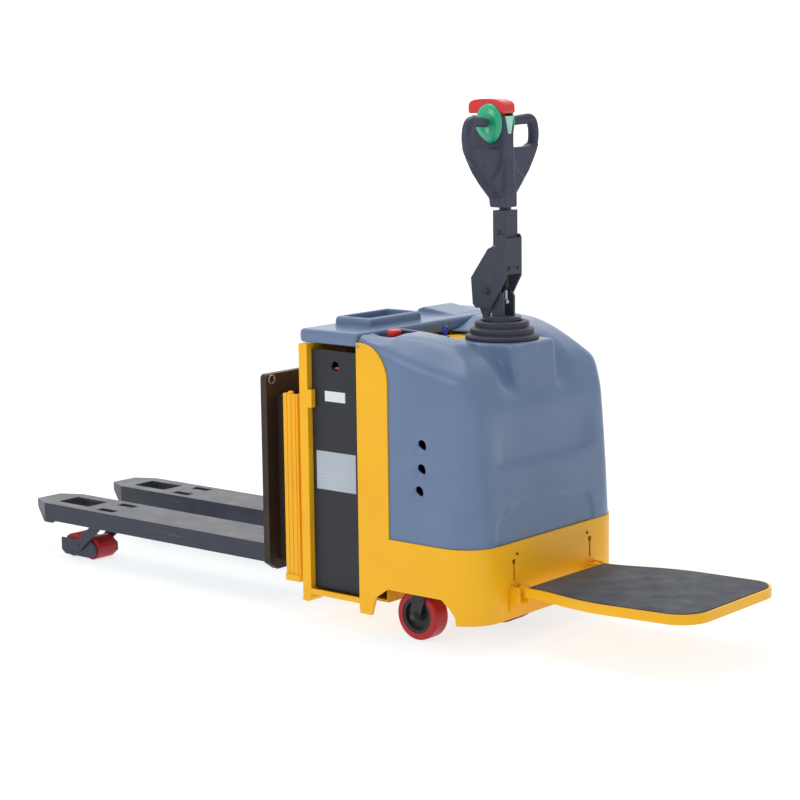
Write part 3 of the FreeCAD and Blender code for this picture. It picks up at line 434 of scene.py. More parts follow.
@dataclass(frozen=True)
class RibbedMatFinish(Finish):
    """Ribbed rubber with brown wear near the hinge."""

    rib_scale: float = 70.0
    worn_from: float = 0.93
    worn_to: float = 0.80
    soil: Colour = (0.13, 0.085, 0.05)

    def _extra_colour(self, tree: bpy.types.NodeTree, shade: bpy.types.NodeSocket) -> bpy.types.NodeSocket:
        """Soils the mat towards its hinge edge."""
        place = tree.nodes.new("ShaderNodeTexCoord")
        split = tree.nodes.new("ShaderNodeSeparateXYZ")
        near = tree.nodes.new("ShaderNodeMapRange")
        near.inputs["From Min"].default_value = self.worn_from
        near.inputs["From Max"].default_value = self.worn_to
        near.inputs["To Max"].default_value = 0.75
        noise = tree.nodes.new("ShaderNodeTexNoise")
        noise.inputs["Scale"].default_value = 16.0
        noise.inputs["Detail"].default_value = 5.0
        patchy = tree.nodes.new("ShaderNodeMath")
        patchy.operation = "MULTIPLY"
        tree.links.new(place.outputs["Object"], split.inputs["Vector"])
        tree.links.new(place.outputs["Object"], noise.inputs["Vector"])
        tree.links.new(split.outputs["X"], near.inputs["Value"])
        tree.links.new(near.outputs["Result"], patchy.inputs[0])
        tree.links.new(noise.outputs["Fac"], patchy.inputs[1])
        return self._blend(tree, shade, self.soil, patchy.outputs["Value"])

    def _extra_height(self, tree: bpy.types.NodeTree, height: bpy.types.NodeSocket) -> bpy.types.NodeSocket:
        """Adds fine ribs running along the platform."""
        place = tree.nodes.new("ShaderNodeTexCoord")
        ribs = tree.nodes.new("ShaderNodeTexWave")
        ribs.bands_direction = "Y"
        ribs.inputs["Scale"].default_value = self.rib_scale
        ribs.inputs["Distortion"].default_value = 0.4
        both = tree.nodes.new("ShaderNodeMath")
        both.operation = "ADD"
        tree.links.new(place.outputs["Object"], ribs.inputs["Vector"])
        tree.links.new(ribs.outputs["Fac"], both.inputs[0])
        tree.links.new(height, both.inputs[1])
        return both.outputs["Value"]


@dataclass(frozen=True)
class PrintedLabelFinish(Finish):
    """Label stock with pale grey ruled rows and nothing that can be read."""

    ink: Colour = (0.36, 0.37, 0.39)
    row_scale: float = 28.0

    def _extra_colour(self, tree: bpy.types.NodeTree, shade: bpy.types.NodeSocket) -> bpy.types.NodeSocket:
        """Rules the label with broken rows."""
        place = tree.nodes.new("ShaderNodeTexCoord")
        rows = tree.nodes.new("ShaderNodeTexWave")
        rows.bands_direction = "Z"
        rows.inputs["Scale"].default_value = self.row_scale
        noise = tree.nodes.new("ShaderNodeTexNoise")
        noise.inputs["Scale"].default_value = 110.0
        keep = tree.nodes.new("ShaderNodeMapRange")
        keep.inputs["From Min"].default_value = 0.72
        keep.inputs["From Max"].default_value = 0.95
        keep.inputs["To Max"].default_value = 0.8
        broken = tree.nodes.new("ShaderNodeMath")
        broken.operation = "MULTIPLY"
        tree.links.new(place.outputs["Object"], rows.inputs["Vector"])
        tree.links.new(place.outputs["Object"], noise.inputs["Vector"])
        tree.links.new(rows.outputs["Fac"], keep.inputs["Value"])
        tree.links.new(keep.outputs["Result"], broken.inputs[0])
        tree.links.new(noise.outputs["Fac"], broken.inputs[1])
        return self._blend(tree, shade, self.ink, broken.outputs["Value"])


def truck_finishes() -> dict[str, Finish]:
    """Returns every finish by the record's slot name, and the extra ones by their own."""
    primer = (0.25, 0.22, 0.18)
    bare = (0.33, 0.33, 0.34)
    return {
        "yellow_paint": Finish("yellow_paint", display_colour(244, 184, 20), display_colour(240, 176, 26), 0.34,
                               rough_spread=0.05, patch_scale=5.0, coat=0.0, grain_scale=420.0,
                               grain_depth=0.00012, worn_colour=primer, worn_amount=0.35, worn_width=0.0016,
                               dust_and_top_light_amount=0.02),
        "cover_grey": Finish("cover_grey", display_colour(104, 125, 156), display_colour(98, 119, 152), 0.36,
                             rough_spread=0.05, patch_scale=4.0, coat=0.15, grain_scale=1400.0,
                             grain_depth=0.0001, wave_share=0.12, worn_colour=display_colour(150, 162, 178),
                             worn_amount=0.25, edge_round=0.003, dust_and_top_light_amount=0.10),
        # Forks: the grey on their upward faces is partly dust and partly a painted highlight of the lit fork tops.
        "fork_paint": Finish("fork_paint", display_colour(50, 53, 66), display_colour(58, 61, 73), 0.42,
                             patch_scale=14.0, grain_scale=500.0, grain_depth=0.0002, worn_colour=display_colour(140, 140, 150),
                             worn_amount=0.8, worn_width=0.0022, scratch_amount=0.30, scratch_scale=90.0,
                             scratch_stretch=(0.06, 1.0, 1.0), dust_and_top_light_amount=0.5,
                             dust_and_top_light_colour=display_colour(126, 124, 126)),
        "backrest_paint": Finish("backrest_paint", display_colour(58, 44, 36), display_colour(48, 38, 34), 0.5,
                                 patch_scale=18.0, worn_colour=display_colour(120, 84, 60), worn_amount=0.6,
                                 scratch_amount=0.15, scratch_stretch=(1.0, 1.0, 0.08)),
        "battery_panel": Finish("battery_panel", display_colour(38, 41, 48), display_colour(44, 47, 54), 0.45,
                                patch_scale=12.0, grain_scale=800.0, worn_colour=display_colour(110, 112, 116), worn_amount=0.4),
        "cell_plastic": Finish("cell_plastic", (0.03, 0.03, 0.035), (0.045, 0.045, 0.05), 0.5),
        "machined_steel": Finish("machined_steel", (0.55, 0.55, 0.57), (0.47, 0.47, 0.49), 0.28, metallic=1.0,
                                 patch_scale=30.0, grain_scale=600.0, dust_and_top_light_amount=0.05),
        "cast_housing": Finish("cast_housing", (0.06, 0.06, 0.065), (0.085, 0.085, 0.09), 0.6, grain_scale=300.0,
                               grain_depth=0.0006, worn_colour=bare, worn_amount=0.4),
        "motor_black": Finish("motor_black", (0.02, 0.02, 0.022), (0.03, 0.03, 0.034), 0.45),
        "tiller_paint": Finish("tiller_paint", display_colour(56, 62, 72), display_colour(64, 68, 80), 0.46,
                               patch_scale=22.0, grain_scale=650.0, grain_depth=0.0003, worn_colour=display_colour(120, 124, 132),
                               worn_amount=0.55, worn_width=0.0014, dust_and_top_light_amount=0.2),
        "handle_plastic": Finish("handle_plastic", display_colour(56, 58, 78), display_colour(64, 66, 86), 0.42,
                                 rough_spread=0.06, patch_scale=16.0, grain_scale=1600.0, grain_depth=0.00015,
                                 wave_share=0.1, worn_colour=display_colour(112, 114, 132), worn_amount=0.25, dust_and_top_light_amount=0.12),
        "switch_red": Finish("switch_red", display_colour(222, 44, 48), display_colour(214, 52, 54), 0.32, coat=0.35,
                             rough_spread=0.04, grain_depth=0.00008, dust_and_top_light_amount=0.18, dust_and_top_light_colour=(0.8, 0.45, 0.42)),
        "knob_green": Finish("knob_green", display_colour(34, 168, 122), display_colour(40, 176, 130), 0.26, coat=0.5,
                             rough_spread=0.04, grain_depth=0.00008, dust_and_top_light_amount=0.05, edge_round=0.003),
        "button_pale": Finish("button_pale", display_colour(172, 222, 208), display_colour(140, 206, 186), 0.35, coat=0.3,
                              grain_depth=0.00008, dust_and_top_light_amount=0.0),
        "boot_rubber": Finish("boot_rubber", display_colour(54, 55, 66), display_colour(60, 61, 74), 0.55,
                              patch_scale=20.0, grain_scale=700.0, grain_depth=0.0004, edge_round=0.002, dust_and_top_light_amount=0.35,
                              dust_and_top_light_colour=(0.22, 0.21, 0.23)),
        "tread_red": Finish("tread_red", display_colour(172, 36, 42), display_colour(158, 32, 38), 0.38,
                            patch_scale=26.0, grain_scale=500.0, grain_depth=0.0003, worn_colour=display_colour(90, 30, 32),
                            worn_amount=0.5, edge_round=0.002, dust_and_top_light_amount=0.1),
        "drive_tread": Finish("drive_tread", display_colour(122, 60, 34), display_colour(104, 50, 32), 0.55,
                              patch_scale=26.0, grain_scale=400.0, grain_depth=0.0005, edge_round=0.002),
        "mat_rubber": RibbedMatFinish("mat_rubber", display_colour(46, 51, 62), display_colour(42, 47, 58), 0.66,
                                      rough_spread=0.1, patch_scale=13.0, grain_scale=520.0, grain_depth=0.0005,
                                      wave_share=0.35, worn_colour=display_colour(50, 54, 60), worn_amount=0.4,
                                      dust_and_top_light_amount=0.35, dust_and_top_light_colour=display_colour(120, 122, 126)),
        "dash_plastic": Finish("dash_plastic", (0.018, 0.018, 0.02), (0.028, 0.028, 0.03), 0.5, grain_depth=0.0003),
        "key_blue": Finish("key_blue", display_colour(40, 60, 160), display_colour(48, 66, 170), 0.35, coat=0.3),
        "label_white": Finish("label_white", display_colour(226, 230, 236), display_colour(216, 220, 228), 0.4,
                              grain_depth=0.00005, edge_round=0.0, dust_and_top_light_amount=0.0),
        "label_rows": PrintedLabelFinish("label_rows", display_colour(178, 188, 198), display_colour(168, 178, 190), 0.4,
                                         grain_depth=0.00005, edge_round=0.0, dust_and_top_light_amount=0.0),
        "liner_orange": Finish("liner_orange", display_colour(206, 104, 52), display_colour(170, 78, 40), 0.5),
        "bolt_zinc": Finish("bolt_zinc", (0.5, 0.5, 0.52), (0.36, 0.36, 0.38), 0.34, metallic=1.0, patch_scale=160.0,
                            grain_scale=900.0, dust_and_top_light_amount=0.1),
        "bolt_black": Finish("bolt_black", (0.03, 0.03, 0.034), (0.05, 0.05, 0.055), 0.4, patch_scale=160.0,
                             worn_colour=bare, worn_amount=0.6, worn_width=0.0008, edge_round=0.0006),
        "weld_bead": Finish("weld_bead", (0.42, 0.46, 0.48), (0.2, 0.22, 0.24), 0.35, metallic=0.7, patch_scale=220.0,
                            grain_scale=500.0, grain_depth=0.0006, edge_round=0.0),
    }


# ---------------------------------------------------------------- modelling bench


class Bench:
    """The few modelling steps that every part of the truck is made with."""

    @staticmethod
    def take(made: bpy.types.Object) -> None:
        """Makes one object the only selected and active one."""
        bpy.ops.object.select_all(action="DESELECT")
        made.select_set(True)
        bpy.context.view_layer.objects.active = made

    @classmethod
    def settle(cls, name: str) -> bpy.types.Object:
        """Names the active object and writes its place into its mesh."""
        made = bpy.context.object
        made.name = made.data.name = name
        cls.take(made)
        bpy.ops.object.transform_apply(location=True, rotation=True, scale=True)
        return made

    @classmethod
    def block(cls, name: str, low: Point, high: Point) -> bpy.types.Object:
        """Makes a block between two corners, to be shaped further.

        Args:
            name: Object name.
            low: Lowest corner.
            high: Highest corner.

        Returns:
            The block.
        """
        middle = [(a + b) / 2 for a, b in zip(low, high)]
        size = [b - a for a, b in zip(low, high)]
        bpy.ops.object.select_all(action="DESELECT")
        bpy.ops.mesh.primitive_cube_add(size=1, location=middle, scale=size)
        return cls.settle(name)

    @classmethod
    def ball(cls, name: str, centre: Point, radii: Point, segments: int = 48) -> bpy.types.Object:
        """Makes an ellipsoid.

        Args:
            name: Object name.
            centre: Middle of the ellipsoid.
            radii: Half sizes along X, Y and Z.
            segments: Divisions round it.

        Returns:
            The ellipsoid.
        """
        bpy.ops.object.select_all(action="DESELECT")
        bpy.ops.mesh.primitive_uv_sphere_add(segments=segments, ring_count=segments // 2,
                                             radius=1, location=centre, scale=radii)
        return cls.settle(name)

    @classmethod
    def turned(cls, name: str, profile: Outline, centre: Point, axis: Axis, steps: int = 64,
               flip: bool = False) -> bpy.types.Object:
        """Spins a half outline about an axis.

        Args:
            name: Object name.
            profile: Points of (radius, height along the axis), from one end to the other.
            centre: Point on the axis that the heights are measured from.
            axis: Axis of the turned part.
            steps: Divisions round it.
            flip: Points the heights the other way along the axis.

        Returns:
            The turned part.
        """
        mesh = bpy.data.meshes.new(name)
        heights = -1.0 if flip else 1.0
        mesh.from_pydata([(r, 0, h) for r, h in profile],
                         [(i, i + 1) for i in range(len(profile) - 1)], [])
        made = bpy.data.objects.new(name, mesh)
        bpy.context.collection.objects.link(made)
        cls.take(made)
        bpy.ops.object.mode_set(mode="EDIT")
        bpy.ops.mesh.select_all(action="SELECT")
        bpy.ops.mesh.spin(steps=steps, angle=2 * math.pi, center=(0, 0, 0), axis=(0, 0, 1))
        bpy.ops.mesh.select_all(action="SELECT")
        bpy.ops.mesh.remove_doubles(threshold=0.00002)
        bpy.ops.object.mode_set(mode="OBJECT")
        points = np.empty(len(mesh.vertices) * 3)
        mesh.vertices.foreach_get("co", points)
        points = points.reshape(-1, 3)
        along = points[:, 2] * heights
        placed = {
            Axis.X: np.column_stack([along, points[:, 0], points[:, 1]]),
            Axis.Y: np.column_stack([points[:, 0], along, points[:, 1]]),
            Axis.Z: np.column_stack([points[:, 0], points[:, 1], along]),
        }[axis] + np.array(centre)
        mesh.vertices.foreach_set("co", placed.ravel())
        mesh.update()
        cls.face_out(made)
        return made

    @classmethod
    def slab(cls, name: str, outline: Outline, axis: Axis, low: float, high: float) -> bpy.types.Object:
        """Draws an outline and pulls it out along an axis.

        Args:
            name: Object name.
            outline: Closed outline in the two other axes, in X, Y, Z order.
            axis: Direction it is pulled out in.
            low: Start along the axis.
            high: End along the axis.

        Returns:
            The slab.
        """
        places = {
            Axis.X: lambda a, b: (low, a, b),
            Axis.Y: lambda a, b: (a, low, b),
            Axis.Z: lambda a, b: (a, b, low),
        }[axis]
        mesh = bpy.data.meshes.new(name)
        mesh.from_pydata([places(a, b) for a, b in outline], [], [list(range(len(outline)))])
        made = bpy.data.objects.new(name, mesh)
        bpy.context.collection.objects.link(made)
        cls.take(made)
        pull = [0.0, 0.0, 0.0]
        pull[axis.value] = high - low
        bpy.ops.object.mode_set(mode="EDIT")
        bpy.ops.mesh.select_all(action="SELECT")
        bpy.ops.mesh.extrude_region_move(TRANSFORM_OT_translate={"value": pull})
        bpy.ops.object.mode_set(mode="OBJECT")
        cls.face_out(made)
        return made

    @classmethod
    def tube(cls, name: str, path: Sequence[Point], radius: float, sizes: Sequence[float] = ()) -> bpy.types.Object:
        """Runs a round bar along a smooth line.

        Args:
            name: Object name.
            path: Control points of the line.
            radius: Radius of the bar.
            sizes: Share of the radius at each control point, all 1 where it is empty.

        Returns:
            The bar as a mesh with closed ends.
        """
        curve = bpy.data.curves.new(name, "CURVE")
        curve.dimensions = "3D"
        curve.bevel_depth = radius
        curve.bevel_resolution = 6
        curve.resolution_u = 8
        curve.use_fill_caps = True
        spline = curve.splines.new("NURBS")
        spline.points.add(len(path) - 1)
        for point, place in zip(spline.points, path):
            point.co = (*place, 1)
        for point, size in zip(spline.points, sizes):
            point.radius = size
        spline.order_u = 3
        spline.use_endpoint_u = True
        made = bpy.data.objects.new(name, curve)
        bpy.context.collection.objects.link(made)
        cls.take(made)
        bpy.ops.object.convert(target="MESH")
        made = bpy.context.object
        bpy.ops.object.mode_set(mode="EDIT")
        bpy.ops.mesh.select_all(action="SELECT")
        bpy.ops.mesh.remove_doubles(threshold=0.00002)
        bpy.ops.object.mode_set(mode="OBJECT")
        cls.face_out(made)
        return made

    @classmethod
    def face_out(cls, made: bpy.types.Object) -> None:
        """Turns every normal outwards."""
        cls.take(made)
        bpy.ops.object.mode_set(mode="EDIT")
        bpy.ops.mesh.select_all(action="SELECT")
        bpy.ops.mesh.normals_make_consistent(inside=False)
        bpy.ops.object.mode_set(mode="OBJECT")

    @classmethod
    def bevel(cls, made: bpy.types.Object, width: float, segments: int,
              chosen: Callable[[Vector, Vector], bool]) -> bpy.types.Object:
        """Rounds the edges that a rule picks out.

        Args:
            made: Object to change.
            width: Size of the rounding.
            segments: Divisions across it.
            chosen: Takes an edge's middle and direction and says whether it is rounded.

        Returns:
            The same object.
        """
        cls.take(made)
        bpy.ops.object.mode_set(mode="EDIT")
        bpy.ops.mesh.select_mode(type="EDGE")
        bpy.ops.mesh.select_all(action="DESELECT")
        sketch = bmesh.from_edit_mesh(made.data)
        for edge in sketch.edges:
            first, last = (v.co for v in edge.verts)
            edge.select = chosen((first + last) / 2, (last - first).normalized())
        sketch.select_flush(True)
        bmesh.update_edit_mesh(made.data)
        bpy.ops.mesh.bevel(offset=width, segments=segments, affect="EDGES", clamp_overlap=True)
        bpy.ops.mesh.select_mode(type="VERT")
        bpy.ops.object.mode_set(mode="OBJECT")
        return made

    @classmethod
    def combine(cls, made: bpy.types.Object, tool: bpy.types.Object, operation: str) -> bpy.types.Object:
        """Joins, cuts or keeps the common part of two solids, and removes the tool.

        Args:
            made: Object to change.
            tool: Other solid, used up by this step.
            operation: UNION, DIFFERENCE or INTERSECT.

        Returns:
            The changed object.
        """
        cls.take(made)
        step = made.modifiers.new("combine", "BOOLEAN")
        step.operation = operation
        step.solver = "EXACT"
        step.object = tool
        bpy.ops.object.modifier_apply(modifier=step.name)
        bpy.data.objects.remove(tool, do_unlink=True)
        return made

    @classmethod
    def apply(cls, made: bpy.types.Object, kind: str, **settings: object) -> bpy.types.Object:
        """Adds one modifier with its settings and applies it.

        Args:
            made: Object to change.
            kind: Modifier type.
            **settings: Properties of the modifier.

        Returns:
            The same object.
        """
        cls.take(made)
        step = made.modifiers.new(kind.lower(), kind)
        for key, value in settings.items():
            setattr(step, key, value)
        bpy.ops.object.modifier_apply(modifier=step.name)
        return made

    @classmethod
    def mould(cls, made: bpy.types.Object, cell: float, passes: int, keep: float) -> bpy.types.Object:
        """Turns joined solids into one soft-edged moulding.

        Args:
            made: Object to change.
            cell: Size of the cells that it is rebuilt in.
            passes: Smoothing passes, which set how round its edges are.
            keep: Share of the faces that is kept.

        Returns:
            The same object.
        """
        cls.apply(made, "REMESH", mode="VOXEL", voxel_size=cell, adaptivity=0.0)
        cls.apply(made, "SMOOTH", factor=0.5, iterations=passes)
        if keep < 1:
            cls.apply(made, "DECIMATE", ratio=keep)
        return made

    @classmethod
    def cut_flat(cls, made: bpy.types.Object, place: Point, normal: Point, cap: bool) -> bpy.types.Object:
        """Removes everything on the far side of a plane.

        Args:
            made: Object to change.
            place: Point on the plane.
            normal: Side of the plane that is removed.
            cap: Closes the opening that this leaves.

        Returns:
            The same object.
        """
        cls.take(made)
        bpy.ops.object.mode_set(mode="EDIT")
        bpy.ops.mesh.select_all(action="SELECT")
        bpy.ops.mesh.bisect(plane_co=place, plane_no=normal, use_fill=cap, clear_outer=True)
        bpy.ops.object.mode_set(mode="OBJECT")
        return made

    @classmethod
    def joined(cls, name: str, parts: Sequence[bpy.types.Object]) -> bpy.types.Object:
        """Puts several meshes into one object."""
        bpy.ops.object.select_all(action="DESELECT")
        for part in parts:
            part.select_set(True)
        bpy.context.view_layer.objects.active = parts[0]
        if len(parts) > 1:
            bpy.ops.object.join()
        made = bpy.context.object
        made.name = made.data.name = name
        return made

    @classmethod
    def smooth(cls, made: bpy.types.Object, degrees: float = 35.0) -> bpy.types.Object:
        """Shades a part smooth except over its sharp edges."""
        cls.take(made)
        bpy.ops.object.shade_smooth_by_angle(angle=math.radians(degrees))
        return made

    @classmethod
    def mirrored(cls, made: bpy.types.Object, name: str) -> bpy.types.Object:
        """Copies a part to the other side of the truck.

        Args:
            made: Part to copy.
            name: Name of the copy.

        Returns:
            The copy, with its own mesh.
        """
        other = made.copy()
        other.data = made.data.copy()
        other.name = other.data.name = name
        bpy.context.collection.objects.link(other)
        cls.take(other)
        bpy.ops.object.mode_set(mode="EDIT")
        bpy.ops.mesh.select_all(action="SELECT")
        bpy.ops.transform.resize(value=(1, -1, 1), center_override=(0, 0, 0))
        bpy.ops.object.mode_set(mode="OBJECT")
        cls.face_out(other)
        return other


@dataclass
class Shop:
    """Finishes ready for use, and the list of pieces that have been handed over."""

    materials: dict[str, bpy.types.Material]
    made: list[str] = field(default_factory=list)

    def hand_over(self, piece: bpy.types.Object, body: str, finish: str, slot: str,
                  replaces: Iterable[str] = ()) -> bpy.types.Object:
        """Gives a piece its finish and fixes it to its body.

        Args:
            piece: Finished mesh.
            body: Body that it rides on.
            finish: Name of the finish.
            slot: Record slot that the finish belongs to; not used.
            replaces: CAD nodes that it stands for.

        Returns:
            The piece.
        """
        piece.data.materials.clear()
        piece.data.materials.append(self.materials[finish])
        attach(piece, body)
        for node in replaces:
            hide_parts(node)
        self.made.append(piece.name)
        LOG.info("%s on %s: %d faces", piece.name, body, len(piece.data.polygons))
        return piece


def ramp(values: np.ndarray, start: float, end: float) -> np.ndarray:
    """Rises smoothly from 0 at start to 1 at end, which may lie either way round."""
    share = np.clip((values - start) / (end - start), 0, 1)
    return share * share * (3 - 2 * share)


def arc(centre: tuple[float, float], radius: float, start: float, end: float, steps: int) -> list[tuple[float, float]]:
    """Lists points along an arc.

    Args:
        centre: Middle of the arc.
        radius: Its radius.
        start: First angle in degrees.
        end: Last angle in degrees.
        steps: Number of divisions.

    Returns:
        Points from start to end.
    """
    angles = [math.radians(start + (end - start) * i / steps) for i in range(steps + 1)]
    return [(centre[0] + radius * math.cos(a), centre[1] + radius * math.sin(a)) for a in angles]


# ---------------------------------------------------------------- body cover


@dataclass
class BodyCover:
    """Moulded cover over the drive unit, with its pillar, vents and pressed panels."""

    shop: Shop
    front: float = 0.283
    rear: float = 0.718
    half: float = 0.376
    foot: float = 0.303
    top: float = 0.908
    corner: float = 0.118
    steer_x: float = 0.533
    pillar_radius: float = 0.125
    pillar_top: float = 0.872
    skin: float = 0.005
    cell: float = 0.0045
    draw_in: float = 0.044
    recess_arch: Outline = ((-0.275, 0.29), (-0.271, 0.315), (-0.266, 0.365), (-0.248, 0.386), (-0.228, 0.398),
                            (-0.145, 0.418), (-0.011, 0.419), (0.110, 0.411), (0.186, 0.398), (0.210, 0.380),
                            (0.222, 0.330), (0.226, 0.29))
    vents: tuple[tuple[float, float], ...] = ((0.517, 0.595), (0.516, 0.524), (0.509, 0.458))

    def build(self) -> None:
        """Builds the cover and hands it over."""
        solid = self._form()
        Bench.mould(solid, 0.0065, 60, 1.0)
        self._hollow(solid)
        Bench.combine(solid, self._pillar(), "UNION")
        Bench.mould(solid, self.cell, 12, 1.0)
        self._press(solid)
        Bench.apply(solid, "DECIMATE", ratio=0.45)
        Bench.apply(solid, "SMOOTH", factor=0.5, iterations=4)
        for place, normal in (((0, 0, self.foot), (0, 0, -1)), ((self.front, 0, 0), (-1, 0, 0))):
            Bench.cut_flat(solid, place, normal, False)
        Bench.apply(solid, "SOLIDIFY", thickness=self.skin, offset=-1.0)
        for tool in self._openings():
            Bench.combine(solid, tool, "DIFFERENCE")
        solid.name = solid.data.name = "cover_moulding"
        Bench.smooth(solid, 40)
        self.shop.hand_over(solid, "chassis", "cover_grey", "cover_grey", ["body_cover"])

    def _form(self) -> bpy.types.Object:
        """Shapes the block with its sloping top and cut-back shoulders, oversize at the foot and front."""
        inner = self.rear - self.corner
        plan = ([(self.front - 0.04, -self.half)] + arc((inner, -self.half + self.corner), self.corner, -90, 0, 14)
                + arc((inner, self.half - self.corner), self.corner, 0, 90, 14) + [(self.front - 0.04, self.half)])
        form = Bench.slab("cover_form", plan, Axis.Z, self.foot - 0.04, self.top)
        crown = [(0.420, 0.904), (0.472, 0.897), (0.520, 0.885), (0.556, 0.872), (0.596, 0.851), (0.626, 0.827),
                 (0.648, 0.800), (0.664, 0.762), (0.686, 0.700)]
        side = ([(self.front - 0.05, self.foot - 0.05), (self.front - 0.05, self.top)] + crown
                + [(self.rear, self.foot), (self.rear + 0.003, self.foot - 0.05)])
        Bench.combine(form, Bench.slab("cover_side", side, Axis.Y, -0.4, 0.4), "INTERSECT")
        for sign in (-1, 1):
            Bench.combine(form, self._shoulder(sign), "DIFFERENCE")
        return form

    def _pillar(self) -> bpy.types.Object:
        """Joins the drum under the boot and the flat nose that leans into the rear face."""
        drum = Bench.turned("pillar_drum", [(0, 0.56), (self.pillar_radius, 0.56), (self.pillar_radius, self.pillar_top),
                                            (0, self.pillar_top)], (self.steer_x, 0, 0), Axis.Z)
        nose = Bench.slab("pillar_nose", [(self.steer_x, 0.56), (self.steer_x, self.pillar_top),
                                          (self.steer_x + 0.122, self.pillar_top), (self.steer_x + 0.150, 0.62),
                                          (self.steer_x + 0.152, 0.56)], Axis.Y, -0.106, 0.106)
        Bench.bevel(nose, 0.014, 4, lambda mid, way: mid.x > self.steer_x + 0.1 and abs(way.y) < 0.1)
        return Bench.combine(drum, nose, "UNION")

    def _hollow(self, solid: bpy.types.Object) -> None:
        """Draws the sides in towards the top rear and sinks a valley round the pillar and the key trough."""
        mesh = solid.data
        points = np.empty(len(mesh.vertices) * 3)
        mesh.vertices.foreach_get("co", points)
        points = points.reshape(-1, 3)
        x, y, z = points[:, 0].copy(), points[:, 1].copy(), points[:, 2].copy()
        rise = np.clip((z - self.foot) / 0.55, 0, 1.1)
        points[:, 1] -= np.sign(y) * self.draw_in * rise * ramp(x, 0.42, 0.66) * ramp(np.abs(y), 0.12, 0.34)
        ahead = np.clip(self.steer_x - x, 0, None)
        beside = np.clip(np.abs(y) - np.where(x > self.steer_x, 0.100, 0.118 - 0.20 * ahead), 0, None)
        round_drum = np.where(x > self.steer_x, beside, np.minimum(beside, np.abs(np.hypot(x - self.steer_x, y) - 0.10)))
        lip = self.pillar_top + 0.040 * ramp(round_drum, 0.015, 0.150)
        front = ramp(x, self.steer_x + 0.03, self.steer_x - 0.02)
        points[:, 2] = np.where(z > lip, z + (lip - z) * front, z)
        near_stop = np.hypot((x - 0.330) / 1.2, (np.abs(y) - 0.320) / 0.8) + np.where(y > 0, 1.0, 0.0)
        points[:, 2] -= 0.012 * ramp(near_stop, 0.062, 0.020) * ramp(z, 0.840, 0.880)
        valley = ramp(beside, 0.115, 0.0) * ramp(x, self.steer_x - 0.03, self.steer_x + 0.05) * ramp(z, 0.690, 0.790)
        points[:, 2] -= 0.030 * valley * ramp(x, 0.70, 0.62)
        points[:, 0] -= 0.018 * valley * ramp(x, 0.60, 0.66)
        mesh.vertices.foreach_set("co", points.ravel())
        mesh.update()

    def _shoulder(self, sign: int) -> bpy.types.Object:
        """Shapes the wedge that rounds one shoulder off towards the rear."""
        ends = [(0.223, 0.013, 0.004), (0.730, 0.190, 0.150)]
        points = []
        for x, wide, deep in ends:
            points += [(x, sign * (self.half + 0.001), self.top - deep), (x, sign * (self.half - wide), self.top + 0.001),
                       (x, sign * (self.half + 0.06), self.top + 0.06)]
        mesh = bpy.data.meshes.new("shoulder")
        mesh.from_pydata(points, [], [(0, 1, 2), (3, 5, 4), (0, 3, 4, 1), (1, 4, 5, 2), (2, 5, 3, 0)])
        made = bpy.data.objects.new("shoulder", mesh)
        bpy.context.collection.objects.link(made)
        Bench.face_out(made)
        return made

    def _press(self, solid: bpy.types.Object) -> None:
        """Presses the rear recess, the brow over it and the dimples round the vents."""
        mesh = solid.data
        points = np.empty(len(mesh.vertices) * 3)
        mesh.vertices.foreach_get("co", points)
        points = points.reshape(-1, 3)
        x, y, z = points[:, 0].copy(), points[:, 1].copy(), points[:, 2].copy()
        rear = ramp(x, self.rear - 0.10, self.rear - 0.055)
        low = ramp(self._into_recess(y, z), -0.003, 0.013)
        edge = 0.521 + 0.10 * np.clip(np.abs(y) - 0.15, 0, None)
        brow = ramp(z, edge, edge + 0.011) * ramp(0.262 - np.abs(y), -0.006, 0.075) * ramp(z, 0.715, 0.560)
        points[:, 0] -= rear * (0.0070 * low + 0.0105 * brow)
        for vent_x, vent_z in self.vents:
            for sign in (-1, 1):
                away = np.hypot((x - vent_x) / 1.15, z - vent_z)
                points[:, 1] -= sign * 0.0070 * ramp(away, 0.032, 0.002) * (sign * y > 0.33)
        mesh.vertices.foreach_set("co", points.ravel())
        mesh.update()

    def _into_recess(self, y: np.ndarray, z: np.ndarray) -> np.ndarray:
        """Returns how deep points lie inside the arch of the rear recess.

        Args:
            y: Places across the truck.
            z: Heights.

        Returns:
            Distances to the arch, negative outside it.
        """
        bend_y, bend_z = (np.array(side) for side in zip(*self.recess_arch))
        steps = np.linspace(0, len(bend_y) - 1, 160)
        arch_y = np.interp(steps, range(len(bend_y)), bend_y)
        arch_z = np.interp(steps, range(len(bend_z)), bend_z)
        gap = np.full(len(y), 1.0)
        for at_y, at_z in zip(arch_y, arch_z):
            gap = np.minimum(gap, np.hypot(y - at_y, z - at_z))
        inside = z < np.interp(y, bend_y, bend_z, left=0, right=0)
        return np.where(inside, gap, -gap)

